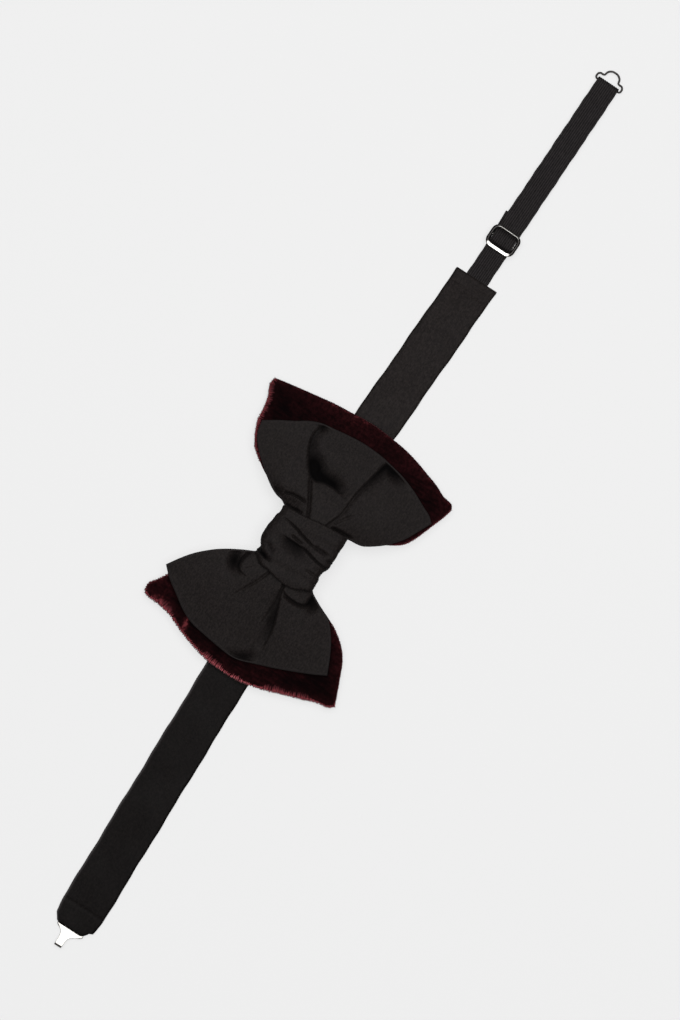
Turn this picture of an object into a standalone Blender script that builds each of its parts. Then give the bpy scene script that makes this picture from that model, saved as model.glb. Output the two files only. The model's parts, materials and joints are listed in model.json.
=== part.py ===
"""Pre-tied bow tie: a velvet bow behind a satin bow, gathered under a satin knot, on an adjustable
satin neckband that closes with a metal hook and eye.

It lies face up.  Origin: middle of the knot, on the surface it lies on.  +X runs along the neckband
towards the eye, -X towards the hook, +Y across the band, +Z out of the front of the bow.
Sizes are in millimetres; MM turns them into metres.
"""
import math

import bmesh
import bpy
from mathutils import Matrix, Vector

MM = 0.001

# ---------------------------------------------------------------- driving dimensions
CLEAR = 0.3                # gap left between pieces that touch on the real tie
OVERLAP = 0.1              # how far joined shapes run into each other
WELD = 0.01                # points closer than this are one point
SMOOTH_ANGLE = 40          # degrees; edges sharper than this stay sharp

# neckband
BAND_WIDTH = 19.4
BAND_PLY = 0.3             # satin
LINING = 0.9               # interlining inside the band
BAND_EDGE = 0.5            # rounding of the folded edges
BAND_GAP = 1.5             # between two hinged stretches
CENTRE_MARGIN = 1.5        # from a wing's root to the band's first bend
HOOK_BENDS = (-58.0, -100.0, -142.0)
HOOK_BAND_END = -176.9
SLIDER_BENDS = (58.0, 95.0)
SLIDER_BAND_END = 132.0
LINING_STOP = 10.0         # lining ends this far short of the elastic's end
ELASTIC_SEWN = 8.0         # length of elastic sewn into the band

# centre line of the band across the table
CENTRE_LINE_HOOK = (-58.0, -1.3)
CENTRE_LINE_SLIDER = (58.0, 3.1)
HOOK_END_Y = -4.3
SLIDER_END_Y = 0.55

# knot
KNOT_X = (-14.8, 14.0)
KNOT_Y = (-13.0, 18.0)
KNOT_WALL = 1.0
KNOT_CORNER_LOW = 3.0
KNOT_CORNER_TOP = 6.0
KNOT_SEAM_Y = 2.5
KNOT_SEAM_GAP = 1.4
PAD = 2.2
PAD_EDGE = 0.9
PAD_INSET = 2.4
THREAD = 0.4
CINCH_TURNS = 3
CINCH_PITCH = 0.8
CINCH_CORNER = 1.2
SEAM_STITCHES = 12
SEAM_STITCH_INSET = 2.0    # from the knot's two edges

# the two bows
WING_GAP = 1.1             # from the knot's side to the loose part of a wing
VELVET_PLY = 0.6
SATIN_PLY = 0.4
BOW_LINING = 0.5
VELVET_RIM = 2.6
SATIN_RIM = 2.2
SATIN_PUFF = 4.0
WAIST_Y = (-10.5, 14.5)
DROOP_ALONG = 1.2
DROOP_ACROSS = 2.0
LINING_INSET = 2.5
# each wing: (x, y) of its outer corners, y of its ends beside the knot, and the furthest reach
VELVET_HOOK = dict(top=(48.5, 46.0), low=(46.5, -45.5), root=(-19.0, 24.0), reach=59.0)
VELVET_SLIDER = dict(top=(53.0, 48.5), low=(47.0, -42.0), root=(-19.0, 28.0), reach=58.7)
SATIN_HOOK = dict(top=(35.0, 44.0), low=(37.5, -36.0), root=(-20.0, 25.0), reach=52.0)
SATIN_SLIDER = dict(top=(36.0, 43.0), low=(38.0, -38.0), root=(-21.0, 26.0), reach=50.4)
SIDE_BELLY = 0.06          # bow of a wing's upper and lower sides, as a share of their length
WING_STEPS = 8             # faces from the knot to the edge
WING_CROSS = 10            # faces across

# hook
HOOK_METAL = 0.5
HOOK_BASE = 12.6
HOOK_RAIL = 1.1
HOOK_BAR = 1.2
HOOK_SLOT = 1.7
HOOK_PLATE = 1.7
HOOK_TONGUE = 3.8
HOOK_REACH = 5.2           # from plate to tip
HOOK_THROAT = 1.0          # clear height under the tongue
HOOK_RETURN = 2.6
FOLD_PLY = 0.45
FOLD_TAPER = 2.4
HOOK_STITCHES = 14
HOOK_STITCH_INSET = 1.0

# elastic, slide and eye, measured along the elastic from the band's end
ELASTIC = 0.7
ELASTIC_WIDTH = 10.0
SLIDE_AT = 14.1
SLIDE_LENGTH = 10.0
SLIDE_PLAY = 0.35          # between the elastic and each rail
SLIDE_METAL = 1.1
SLIDE_BAR = 1.5
SLIDE_RAIL = 1.3
SLIDE_CORNER = 2.4
CROSS_BAR = 1.0
TAB_END = 30.3
TAB_STITCHES = 10
TAB_STITCH_INSET = 0.8
EYE_AT = 95.9
BEND_REACH = 5.0           # elastic beside the eye that moves with it
EYE_WIRE = 0.8
# the eye's half outline: distance from its base bar, and how far inside the shoulders
EYE_OUTLINE = ((0.3, 0.3), (1.2, 0.0), (2.2, 0.3), (2.9, 1.5), (3.2, 2.5), (4.3, 3.4),
               (5.4, 4.5), (5.9, 5.6))
ELASTIC_SLOPE = -1.0       # degrees

# ---------------------------------------------------------------- sizes worked out from them
WING_ROOT = max(-KNOT_X[0], KNOT_X[1]) + WING_GAP
CENTRE_HALF = WING_ROOT + CENTRE_MARGIN
SLIDE_WIDTH = ELASTIC_WIDTH + 2 * (SLIDE_PLAY + SLIDE_RAIL)
BAND = 2 * BAND_PLY + 2 * CLEAR + LINING
BAND_LOW_KNOT = KNOT_WALL + CLEAR
THREAD_LOW = BAND_LOW_KNOT + BAND + CLEAR + THREAD / 2
VELVET_LOW = THREAD_LOW + THREAD / 2 + CLEAR
VELVET_TOP = VELVET_LOW + VELVET_RIM
SATIN_LOW = VELVET_TOP + CLEAR
SATIN_TOP = SATIN_LOW + SATIN_RIM
THREAD_TOP = SATIN_TOP + CLEAR + THREAD / 2
PAD_LOW = THREAD_TOP + THREAD / 2 + CLEAR
PAD_TOP = PAD_LOW + PAD
KNOT_TOP = PAD_TOP + CLEAR + KNOT_WALL
WING_HINGE_Z = SATIN_TOP

RUN_LOW = ELASTIC / 2
TAB_LEVEL = RUN_LOW + ELASTIC + CLEAR
RUN_TOP = TAB_LEVEL + ELASTIC + CLEAR
SLIDE_LOW = RUN_TOP + ELASTIC / 2 + CLEAR
CROSS_LOW = SLIDE_LOW + OVERLAP - SLIDE_METAL
WRAP_TOP = SLIDE_LOW + OVERLAP + CLEAR + ELASTIC / 2
RUN_OVER = WRAP_TOP + ELASTIC + CLEAR
EYE_LEVEL = (RUN_LOW + RUN_TOP) / 2


# ---------------------------------------------------------------- scene helpers
def clear_scene():
    for item in list(bpy.data.objects):
        bpy.data.objects.remove(item, do_unlink=True)


def collection(name):
    made = bpy.data.collections.new(name)
    bpy.context.scene.collection.children.link(made)
    return made


def material(name, colour, roughness, metallic=0.0):
    made = bpy.data.materials.new(name)
    made.use_nodes = True
    shader = made.node_tree.nodes["Principled BSDF"]
    shader.inputs["Base Color"].default_value = (*colour, 1.0)
    shader.inputs["Roughness"].default_value = roughness
    shader.inputs["Metallic"].default_value = metallic
    made.diffuse_color = (*colour, 1.0)
    return made


clear_scene()
PARTS = collection("bow_tie")
RIG = collection("joint_axes")
CUTTERS = collection("cutters")
SATIN = material("black_satin", (0.012, 0.011, 0.012), 0.38)
VELVET = material("burgundy_velvet", (0.06, 0.008, 0.014), 0.85)
FELT = material("interlining", (0.72, 0.70, 0.66), 0.95)
ELASTIC_BLACK = material("black_elastic", (0.015, 0.014, 0.016), 0.7)
NICKEL = material("nickel", (0.72, 0.70, 0.67), 0.22, 1.0)
COTTON = material("black_thread", (0.02, 0.02, 0.02), 0.7)


def body(name, at, parent=None):
    """An empty on a joint's axis; the pieces that move with it are its children."""
    empty = bpy.data.objects.new(name, None)
    empty.location = Vector(at) * MM
    RIG.objects.link(empty)
    if parent is not None:
        empty.parent = parent
        empty.location = Vector(at) * MM - parent.matrix_world.translation
    bpy.context.view_layer.update()
    return empty


def finish(made, owner, skin, smooth=True):
    made.data.materials.append(skin)
    made.parent = owner
    made.matrix_parent_inverse = owner.matrix_world.inverted()
    if smooth and made.type == "MESH":
        made.data.shade_smooth()
        made.data.set_sharp_from_angle(angle=math.radians(SMOOTH_ANGLE))
    return made


def mesh_object(name, mesh, group=PARTS):
    made = bpy.data.objects.new(name, mesh)
    group.objects.link(made)
    return made


def from_bmesh(name, work, group=PARTS):
    mesh = bpy.data.meshes.new(name)
    bmesh.ops.recalc_face_normals(work, faces=work.faces)
    work.to_mesh(mesh)
    work.free()
    return mesh_object(name, mesh, group)


def solidify(made, thickness, offset):
    modifier = made.modifiers.new("ply", "SOLIDIFY")
    modifier.thickness = thickness * MM
    modifier.offset = offset
    modifier.use_even_offset = True
    return modifier


def bevel(made, width, segments=2):
    modifier = made.modifiers.new("edge", "BEVEL")
    modifier.width = width * MM
    modifier.segments = segments
    modifier.limit_method = "ANGLE"
    return modifier


def along(start, end):
    """The frame whose X runs from start to end, with Y level."""
    start, end = Vector(start), Vector(end)
    x_axis = (end - start).normalized()
    y_axis = Vector((0, 0, 1)).cross(x_axis).normalized()
    z_axis = x_axis.cross(y_axis)
    turn = Matrix((x_axis, y_axis, z_axis)).transposed().to_4x4()
    return Matrix.Translation((start + end) / 2 * MM) @ turn


def slab(name, start, end, width, height, edge, owner, skin, open_ends=False):
    """A flat length of material between two points of its centre line."""
    work = bmesh.new()
    bmesh.ops.create_cube(work, size=1.0)
    length = (Vector(end) - Vector(start)).length
    bmesh.ops.scale(work, vec=Vector((length, width, height)) * MM, verts=work.verts)
    if open_ends:
        ends = [face for face in work.faces if abs(face.normal.x) > 0.9]
        bmesh.ops.delete(work, geom=ends, context="FACES_ONLY")
    bmesh.ops.transform(work, matrix=along(start, end), verts=work.verts)
    made = from_bmesh(name, work)
    bevel(made, edge)
    return finish(made, owner, skin)


def tube(name, start, end, owner):
    """A stretch of the satin neckband: a flat sleeve, open at both ends."""
    made = slab(name, start, end, BAND_WIDTH, BAND, BAND_EDGE, owner, SATIN, open_ends=True)
    solidify(made, BAND_PLY, -1)
    return made


def lining(name, start, end, owner):
    width = BAND_WIDTH - 2 * (BAND_PLY + CLEAR + BAND_EDGE)
    return slab(name, start, end, width, LINING, CLEAR / 2, owner, FELT)


def grid(work, rows, missing=()):
    """Quads between rows of points, without the ones listed as (row, column)."""
    verts = [[work.verts.new(Vector(point) * MM) for point in row] for row in rows]
    for i in range(len(rows) - 1):
        for j in range(len(rows[0]) - 1):
            if (i, j) not in missing:
                work.faces.new((verts[i][j], verts[i + 1][j], verts[i + 1][j + 1], verts[i][j + 1]))
    return verts


def sheet(name, rows, thickness, owner, skin, missing=(), offset=0):
    work = bmesh.new()
    grid(work, rows, missing)
    made = from_bmesh(name, work)
    solidify(made, thickness, offset)
    return finish(made, owner, skin)


def wire(name, points, diameter, owner, skin, cyclic=False):
    data = bpy.data.curves.new(name, "CURVE")
    data.dimensions = "3D"
    data.resolution_u = 1
    data.render_resolution_u = 0
    data.bevel_depth = diameter / 2 * MM
    data.bevel_resolution = 2
    data.use_fill_caps = not cyclic
    spline = data.splines.new("POLY")
    spline.points.add(len(points) - 1)
    for target, point in zip(spline.points, points):
        target.co = (*(Vector(point) * MM), 1.0)
    spline.use_cyclic_u = cyclic
    made = bpy.data.objects.new(name, data)
    PARTS.objects.link(made)
    return finish(made, owner, skin, smooth=False)


# ---------------------------------------------------------------- neckband centre line
def on_line(x):
    """Centre of the band's thickness at x, following its slant and its rise into the knot."""
    marks = [
        (HOOK_BAND_END, HOOK_END_Y, 0.0),
        (*CENTRE_LINE_HOOK, 0.0),
        (-CENTRE_HALF, None, BAND_LOW_KNOT),
        (CENTRE_HALF, None, BAND_LOW_KNOT),
        (*CENTRE_LINE_SLIDER, 0.0),
        (SLIDER_BAND_END, SLIDER_END_Y, 0.0),
    ]
    left, right = Vector(CENTRE_LINE_HOOK), Vector(CENTRE_LINE_SLIDER)
    slope = (right.y - left.y) / (right.x - left.x)
    marks = [(u, left.y + slope * (u - left.x) if y is None else y, z) for u, y, z in marks]
    for (x0, y0, z0), (x1, y1, z1) in zip(marks, marks[1:]):
        if x <= x1 or x1 == SLIDER_BAND_END:
            share = (x - x0) / (x1 - x0)
            return Vector((x, y0 + (y1 - y0) * share, z0 + (z1 - z0) * share + BAND / 2))


def band_chain(side, bends, end, first_owner):
    """The stretches of one side, each hinged on the one before it; gives the last one's empty."""
    sign = math.copysign(1, end)
    owner = first_owner
    stops = [sign * CENTRE_HALF, *bends, end]
    for number, (x0, x1) in enumerate(zip(stops, stops[1:]), 1):
        owner = body(f"axis_{side}_band_{number}", on_line(x0), owner)
        start = on_line(x0 + sign * BAND_GAP / 2)
        last = x1 == end
        finish_at = on_line(x1 if last else x1 - sign * BAND_GAP / 2)
        tube(f"{side}_side_band_{number}", start, finish_at, owner)
        lining_end = x1 - sign * ((ELASTIC_SEWN + LINING_STOP) if last and sign > 0 else BAND_GAP)
        lining_start = on_line(x0 + sign * BAND_GAP)
        lining(f"{side}_side_lining_{number}", lining_start, on_line(lining_end), owner)
    return owner


# ---------------------------------------------------------------- knot
def rounded_path(y_range, z_range, low_radius, top_radius, steps, start_y=None, gap=0.0):
    """Points round a rectangle with rounded corners, from the middle of its lower side."""
    (y0, y1), (z0, z1) = y_range, z_range
    corners = [
        (y1 - low_radius, z0 + low_radius, low_radius, -90),
        (y1 - top_radius, z1 - top_radius, top_radius, 0),
        (y0 + top_radius, z1 - top_radius, top_radius, 90),
        (y0 + low_radius, z0 + low_radius, low_radius, 180),
    ]
    middle = (y0 + y1) / 2 if start_y is None else start_y
    points = [(middle + gap / 2, z0)]
    for y, z, radius, first in corners:
        for step in range(steps + 1):
            angle = math.radians(first + 90 * step / steps)
            points.append((y + radius * math.cos(angle), z + radius * math.sin(angle)))
    points.append((middle - gap / 2, z0))
    return points


def knot_wrap(owner):
    """A band of satin round everything, its two ends meeting at the back."""
    path = rounded_path(KNOT_Y, (0, KNOT_TOP), KNOT_CORNER_LOW, KNOT_CORNER_TOP, 4,
                        KNOT_SEAM_Y, KNOT_SEAM_GAP)
    rows = [[(x, y, z) for y, z in path] for x in KNOT_X]
    made = sheet("knot_wrap", rows, KNOT_WALL, owner, SATIN, offset=-1)
    return made


def knot_seam_stitch(owner):
    x0, x1 = KNOT_X[0] + SEAM_STITCH_INSET, KNOT_X[1] - SEAM_STITCH_INSET
    swing = KNOT_SEAM_GAP / 2 - CLEAR - THREAD / 2
    points = []
    for step in range(SEAM_STITCHES + 1):
        side = 1 if step % 2 else -1
        x = x0 + (x1 - x0) * step / SEAM_STITCHES
        points.append((x, KNOT_SEAM_Y + side * swing, KNOT_WALL / 2))
    return wire("knot_seam_stitch", points, THREAD, owner, COTTON)


def cinch_thread(owner):
    """Turns of thread that gather both bows at the waist."""
    out = CLEAR + THREAD / 2
    ring = rounded_path((WAIST_Y[0] - out, WAIST_Y[1] + out), (THREAD_LOW, THREAD_TOP),
                        CINCH_CORNER, CINCH_CORNER, 3)[:-1]
    count = CINCH_TURNS * len(ring)
    points = []
    for step in range(count + 1):
        y, z = ring[step % len(ring)]
        x = (step / len(ring) - CINCH_TURNS / 2) * CINCH_PITCH
        points.append((x, y, z))
    return wire("cinch_thread", points, THREAD, owner, COTTON)


def waist(name, low, top, owner, skin):
    middle_y, middle_z = sum(WAIST_Y) / 2, (low + top) / 2
    start = (KNOT_X[0], middle_y, middle_z)
    end = (KNOT_X[1], middle_y, middle_z)
    return slab(name, start, end, WAIST_Y[1] - WAIST_Y[0], top - low, CLEAR, owner, skin)


# ---------------------------------------------------------------- wings
def bent_line(start, end, middle, t):
    """A curve from start to end that passes through middle halfway."""
    control = 2 * middle - (start + end) / 2
    return start.lerp(control, t).lerp(control.lerp(end, t), t)


def wing_point(shape, u, v):
    """Plan position on a wing: u from the knot (0) to the edge (1), v from low (0) to top (1)."""
    root_low = Vector((WING_ROOT, shape["root"][0]))
    root_top = Vector((WING_ROOT, shape["root"][1]))
    low, top = Vector(shape["low"]), Vector(shape["top"])

    def side(start, end, sign):
        chord = end - start
        normal = Vector((-chord.y, chord.x)) * sign * SIDE_BELLY
        return bent_line(start, end, (start + end) / 2 + normal, u)

    def outer(share):
        return bent_line(low, top, Vector((shape["reach"], (low.y + top.y) / 2)), share)

    lower, upper = side(root_low, low, -1), side(root_top, top, 1)
    ruled_u = lower.lerp(upper, v)
    ruled_v = root_low.lerp(root_top, v).lerp(outer(v), u)
    bilinear = root_low.lerp(low, u).lerp(root_top.lerp(top, u), v)
    return ruled_u + ruled_v - bilinear


def droop(x, y):
    """How far the wings hang below their height at the knot."""
    share = (x - WING_ROOT) / (VELVET_HOOK["reach"] - WING_ROOT)
    return share * (DROOP_ALONG + DROOP_ACROSS * (y / VELVET_HOOK["top"][1]) ** 2)


def wing(name, shape, sign, low, rim, puff, ply, owner, skin):
    """A flattened loop of cloth, open where it enters the knot."""
    def row(u):
        upper, lower = [], []
        for step in range(WING_CROSS + 1):
            v = step / WING_CROSS
            x, y = wing_point(shape, u, v)
            base = low - droop(x, y)
            crown = puff * math.sin(math.pi * u) * math.sin(math.pi * v)
            upper.append((sign * x, y, base + rim + crown))
            lower.append((sign * x, y, base))
        return upper + lower[::-1] + upper[:1]

    work = bmesh.new()
    verts = grid(work, [row(step / WING_STEPS) for step in range(WING_STEPS + 1)])
    tip = verts[-1]
    for step in range(WING_CROSS):
        other = 2 * WING_CROSS + 1 - step
        work.faces.new((tip[step], tip[step + 1], tip[other - 1], tip[other]))
    bmesh.ops.remove_doubles(work, verts=work.verts, dist=WELD * MM)
    made = from_bmesh(name, work)
    solidify(made, ply, -1)
    return finish(made, owner, skin)


def wing_lining(name, shape, sign, low, rim, owner):
    """A sheet of interlining inside the loop."""
    rows = []
    length = shape["reach"] - WING_ROOT
    margin = LINING_INSET / length
    for step in range(WING_STEPS + 1):
        u = (1 - margin) * step / WING_STEPS
        row = []
        for cross in range(WING_CROSS + 1):
            v = margin + (1 - 2 * margin) * cross / WING_CROSS
            x, y = wing_point(shape, u, v)
            row.append((sign * x, y, low - droop(x, y) + rim / 2))
        rows.append(row)
    return sheet(name, rows, BOW_LINING, owner, FELT)


def wing_pair(side, sign, velvet_shape, satin_shape, root):
    hinge = (sign * (WING_ROOT - CLEAR), 0, WING_HINGE_Z)
    velvet = body(f"axis_{side}_velvet_wing", hinge, root)
    satin = body(f"axis_{side}_satin_wing", hinge, velvet)
    wing(f"{side}_velvet_wing", velvet_shape, sign, VELVET_LOW, VELVET_RIM, 0.0, VELVET_PLY,
         velvet, VELVET)
    wing_lining(f"{side}_velvet_lining", velvet_shape, sign, VELVET_LOW, VELVET_RIM, velvet)
    wing(f"{side}_satin_wing", satin_shape, sign, SATIN_LOW, SATIN_RIM, SATIN_PUFF, SATIN_PLY,
         satin, SATIN)
    wing_lining(f"{side}_satin_lining", satin_shape, sign, SATIN_LOW, SATIN_RIM, satin)


# ---------------------------------------------------------------- hook end
FOLD_START = HOOK_BAND_END - 2 * CLEAR - THREAD
HOOK_BAR_X = FOLD_START - FOLD_TAPER - HOOK_BAR / 2
FOLD_TIP = HOOK_BAR_X - HOOK_BAR / 2 - CLEAR - FOLD_PLY
FOLD_WIDTH = HOOK_BASE - 2 * HOOK_RAIL - 2 * CLEAR


def hook_fold(owner):
    """The end of the band, folded round the hook's bar."""
    radius = (BAND - FOLD_PLY) / 2
    centre = FOLD_TIP + BAND / 2
    path = [(FOLD_START, BAND / 2 + radius), (HOOK_BAR_X + HOOK_BAR, BAND / 2 + radius)]
    for step in range(7):
        angle = math.radians(90 + 30 * step)
        path.append((centre + radius * math.cos(angle), BAND / 2 + radius * math.sin(angle)))
    path += [(HOOK_BAR_X + HOOK_BAR, BAND / 2 - radius), (FOLD_START, BAND / 2 - radius)]
    rows = []
    for x, z in path:
        width = BAND_WIDTH if x == FOLD_START else FOLD_WIDTH
        rows.append([(x, HOOK_END_Y - width / 2, z), (x, HOOK_END_Y + width / 2, z)])
    return sheet("hook_end_fold", rows, FOLD_PLY, owner, SATIN)


def hook_end_stitch(owner):
    x = HOOK_BAND_END - CLEAR - THREAD / 2
    half = BAND_WIDTH / 2 - HOOK_STITCH_INSET
    rise = (BAND - THREAD) / 2 - CLEAR
    points = []
    for step in range(HOOK_STITCHES + 1):
        y = HOOK_END_Y - half + 2 * half * step / HOOK_STITCHES
        points.append((x, y, BAND / 2 + (rise if step % 2 else -rise)))
    return wire("hook_end_stitch", points, THREAD, owner, COTTON)


def hook(owner):
    """A stamped plate with a slotted base and a tongue bent back under itself."""
    half, window, tongue = HOOK_BASE / 2, HOOK_BASE / 2 - HOOK_RAIL, HOOK_TONGUE / 2
    level = BAND / 2
    bar_edge = HOOK_BAR_X + HOOK_BAR / 2
    slot_edge = bar_edge - HOOK_BAR
    plate_edge = slot_edge - HOOK_SLOT
    neck = plate_edge - HOOK_PLATE
    under = level - HOOK_METAL / 2
    bend = (HOOK_THROAT + HOOK_METAL) / 2
    crest = under + 2 * bend
    tip = neck - HOOK_REACH + bend
    rows = []

    def row(x, z, outer, inner):
        ys = (-outer, -inner, inner, outer)
        rows.append([(x, HOOK_END_Y + y, z) for y in ys])

    row(bar_edge, level, half, window)
    row(slot_edge, level, half, window)
    row(plate_edge, level, half, window)
    row(plate_edge - HOOK_PLATE / 2, level, half - HOOK_METAL, tongue)
    row(neck, level, tongue + HOOK_METAL, tongue / 2)
    row(neck - HOOK_METAL, level, tongue, tongue / 2)
    row((neck + tip) / 2, crest, tongue, tongue / 2)
    for step in range(7):
        angle = math.radians(90 + 30 * step)
        row(tip + bend * math.cos(angle), under + bend + bend * math.sin(angle), tongue, tongue / 2)
    row(tip + HOOK_RETURN, under, tongue, tongue / 2)
    made = sheet("hook", rows, HOOK_METAL, owner, NICKEL, missing={(1, 1)})
    return made


# ---------------------------------------------------------------- elastic end
def elastic_frame():
    start = on_line(SLIDER_BAND_END)
    turn = Matrix.Rotation(math.radians(ELASTIC_SLOPE), 4, "Z")
    return Matrix.Translation((start.x * MM, start.y * MM, 0)) @ turn


def strip(name, path, owner):
    """Elastic that follows a path of (distance along, height)."""
    half = ELASTIC_WIDTH / 2
    rows = [[(x, -half, z), (x, half, z)] for x, z in path]
    made = sheet(name, rows, ELASTIC, owner, ELASTIC_BLACK)
    made.data.transform(elastic_frame())
    return made


def arc(centre, radius, first, last, steps):
    points = []
    for step in range(steps + 1):
        angle = math.radians(first + (last - first) * step / steps)
        points.append((centre[0] + radius * math.cos(angle), centre[1] + radius * math.sin(angle)))
    return points


CROSS_AT = SLIDE_AT + SLIDE_LENGTH / 2
WRAP_HALF = CROSS_BAR / 2 + CLEAR + ELASTIC / 2
RISE_IN = (SLIDE_AT + SLIDE_BAR + CROSS_AT - WRAP_HALF - ELASTIC / 2) / 2
RISE_OUT = 2 * CROSS_AT - RISE_IN
TURN = ELASTIC / 2 + CLEAR


def fixed_run(owner):
    """From the seam in the band, under the near bar and over the cross bar."""
    path = [
        (-ELASTIC_SEWN, BAND / 2),
        (SLIDE_AT / 4, BAND / 2),
        (SLIDE_AT - SLIDE_BAR, RUN_TOP),
        (RISE_IN - TURN, RUN_TOP),
        (RISE_IN, RUN_TOP + TURN),
        (RISE_IN, RUN_OVER - TURN),
        (RISE_IN + TURN, RUN_OVER),
        (RISE_OUT - TURN, RUN_OVER),
        (RISE_OUT, RUN_OVER - TURN),
        (RISE_OUT, RUN_TOP + TURN),
        (RISE_OUT + TURN, RUN_TOP),
        (SLIDE_AT + SLIDE_LENGTH - SLIDE_BAR / 2, RUN_TOP),
    ]
    return strip("elastic_fixed_run", path, owner)


def eye_bend(owner):
    """The turn of the elastic round the eye's base bar."""
    path = [(EYE_AT - BEND_REACH, RUN_TOP)]
    path += arc((EYE_AT, EYE_LEVEL), EYE_LEVEL - RUN_LOW, 90, -90, 8)
    path.append((EYE_AT - BEND_REACH, RUN_LOW))
    return strip("elastic_eye_bend", path, owner)


def upper_run(owner):
    """From under the far bar to the eye."""
    start = SLIDE_AT + SLIDE_LENGTH - SLIDE_BAR / 2 + CLEAR
    path = [(start, RUN_TOP), (EYE_AT - BEND_REACH - CLEAR, RUN_TOP)]
    return strip("elastic_upper_run", path, owner)


def lower_run(owner):
    """Back from the eye to the slide, round its cross bar and out again as a sewn tab."""
    left, right = CROSS_AT - WRAP_HALF, CROSS_AT + WRAP_HALF
    path = [
        (EYE_AT - BEND_REACH - CLEAR, RUN_LOW),
        (left + TURN, RUN_LOW),
        (left, RUN_LOW + TURN),
        (left, WRAP_TOP - TURN),
        (left + TURN, WRAP_TOP),
        (right - TURN, WRAP_TOP),
        (right, WRAP_TOP - TURN),
        (right, TAB_LEVEL + TURN),
        (right + TURN, TAB_LEVEL),
        (TAB_END, TAB_LEVEL),
    ]
    return strip("elastic_lower_run", path, owner)


def tab_stitch(owner):
    half = ELASTIC_WIDTH / 2 - TAB_STITCH_INSET
    x = TAB_END + CLEAR + THREAD
    z = RUN_LOW + ELASTIC / 2 + CLEAR + THREAD / 2
    points = []
    for step in range(TAB_STITCHES + 1):
        y = -half + 2 * half * step / TAB_STITCHES
        points.append((x + (THREAD / 2 if step % 2 else -THREAD / 2), y, z))
    made = wire("tab_stitch", points, THREAD, owner, COTTON)
    made.data.transform(elastic_frame())
    return made


def rounded_outline(length, width, radius, steps):
    points = []
    for sx, sy, first in ((1, 1, 0), (-1, 1, 90), (-1, -1, 180), (1, -1, 270)):
        centre = (sx * (length / 2 - radius), sy * (width / 2 - radius))
        points += arc(centre, radius, first, first + 90, steps)
    return points


def plate(name, outlines, thickness, group):
    """A flat plate from 2D outlines, the later ones holes."""
    data = bpy.data.curves.new(name, "CURVE")
    data.dimensions = "2D"
    data.fill_mode = "BOTH"
    data.extrude = thickness / 2 * MM
    for outline in outlines:
        spline = data.splines.new("POLY")
        spline.points.add(len(outline) - 1)
        for target, (x, y) in zip(spline.points, outline):
            target.co = (x * MM, y * MM, 0, 1)
        spline.use_cyclic_u = True
    curve = bpy.data.objects.new(name + "_outline", data)
    group.objects.link(curve)
    bpy.context.view_layer.update()
    graph = bpy.context.evaluated_depsgraph_get()
    mesh = bpy.data.meshes.new_from_object(curve.evaluated_get(graph))
    bpy.data.objects.remove(curve, do_unlink=True)
    work = bmesh.new()
    work.from_mesh(mesh)
    bmesh.ops.remove_doubles(work, verts=work.verts, dist=WELD * MM)
    bpy.data.meshes.remove(mesh)
    return from_bmesh(name, work, group)


def slide_buckle(owner):
    """A rounded frame with a lower cross bar that carries the sewn end of the elastic."""
    window = rounded_outline(SLIDE_LENGTH - 2 * SLIDE_BAR, SLIDE_WIDTH - 2 * SLIDE_RAIL,
                             SLIDE_CORNER - SLIDE_RAIL, 3)
    frame = rounded_outline(SLIDE_LENGTH, SLIDE_WIDTH, SLIDE_CORNER, 5)
    made = plate("slide_buckle", [frame, window], SLIDE_METAL, PARTS)
    made.data.transform(Matrix.Translation((CROSS_AT * MM, 0, (SLIDE_LOW + SLIDE_METAL / 2) * MM)))
    middle = CROSS_LOW + SLIDE_METAL / 2
    reach = SLIDE_WIDTH / 2 - SLIDE_RAIL / 4
    bar_box = bmesh.new()
    bmesh.ops.create_cube(bar_box, size=1.0)
    size = Vector((CROSS_BAR, 2 * reach, SLIDE_METAL)) * MM
    bmesh.ops.scale(bar_box, vec=size, verts=bar_box.verts)
    bmesh.ops.translate(bar_box, vec=Vector((CROSS_AT, 0, middle)) * MM, verts=bar_box.verts)
    bar = from_bmesh("cross_bar_shape", bar_box, CUTTERS)
    for item in (made, bar):
        item.data.transform(elastic_frame())
    bar.hide_render = True
    bar.display_type = "WIRE"
    join = made.modifiers.new("cross_bar", "BOOLEAN")
    join.operation = "UNION"
    join.solver = "EXACT"
    join.object = bar
    return finish(made, owner, NICKEL)


def eye(owner):
    """A wire loop: a straight base bar through the elastic, two shoulders and a middle lobe."""
    half = ELASTIC_WIDTH / 2
    shoulder = half + CLEAR + EYE_WIRE
    upper = [(0.0, half - EYE_WIRE / 2)]
    upper += [(reach, shoulder - inset) for reach, inset in EYE_OUTLINE]
    outline = upper + [(x, -y) for x, y in reversed(upper)]
    points = [(EYE_AT + x, y, EYE_LEVEL) for x, y in outline]
    made = wire("eye", points, EYE_WIRE, owner, NICKEL, cyclic=True)
    made.data.transform(elastic_frame())
    return made


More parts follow.
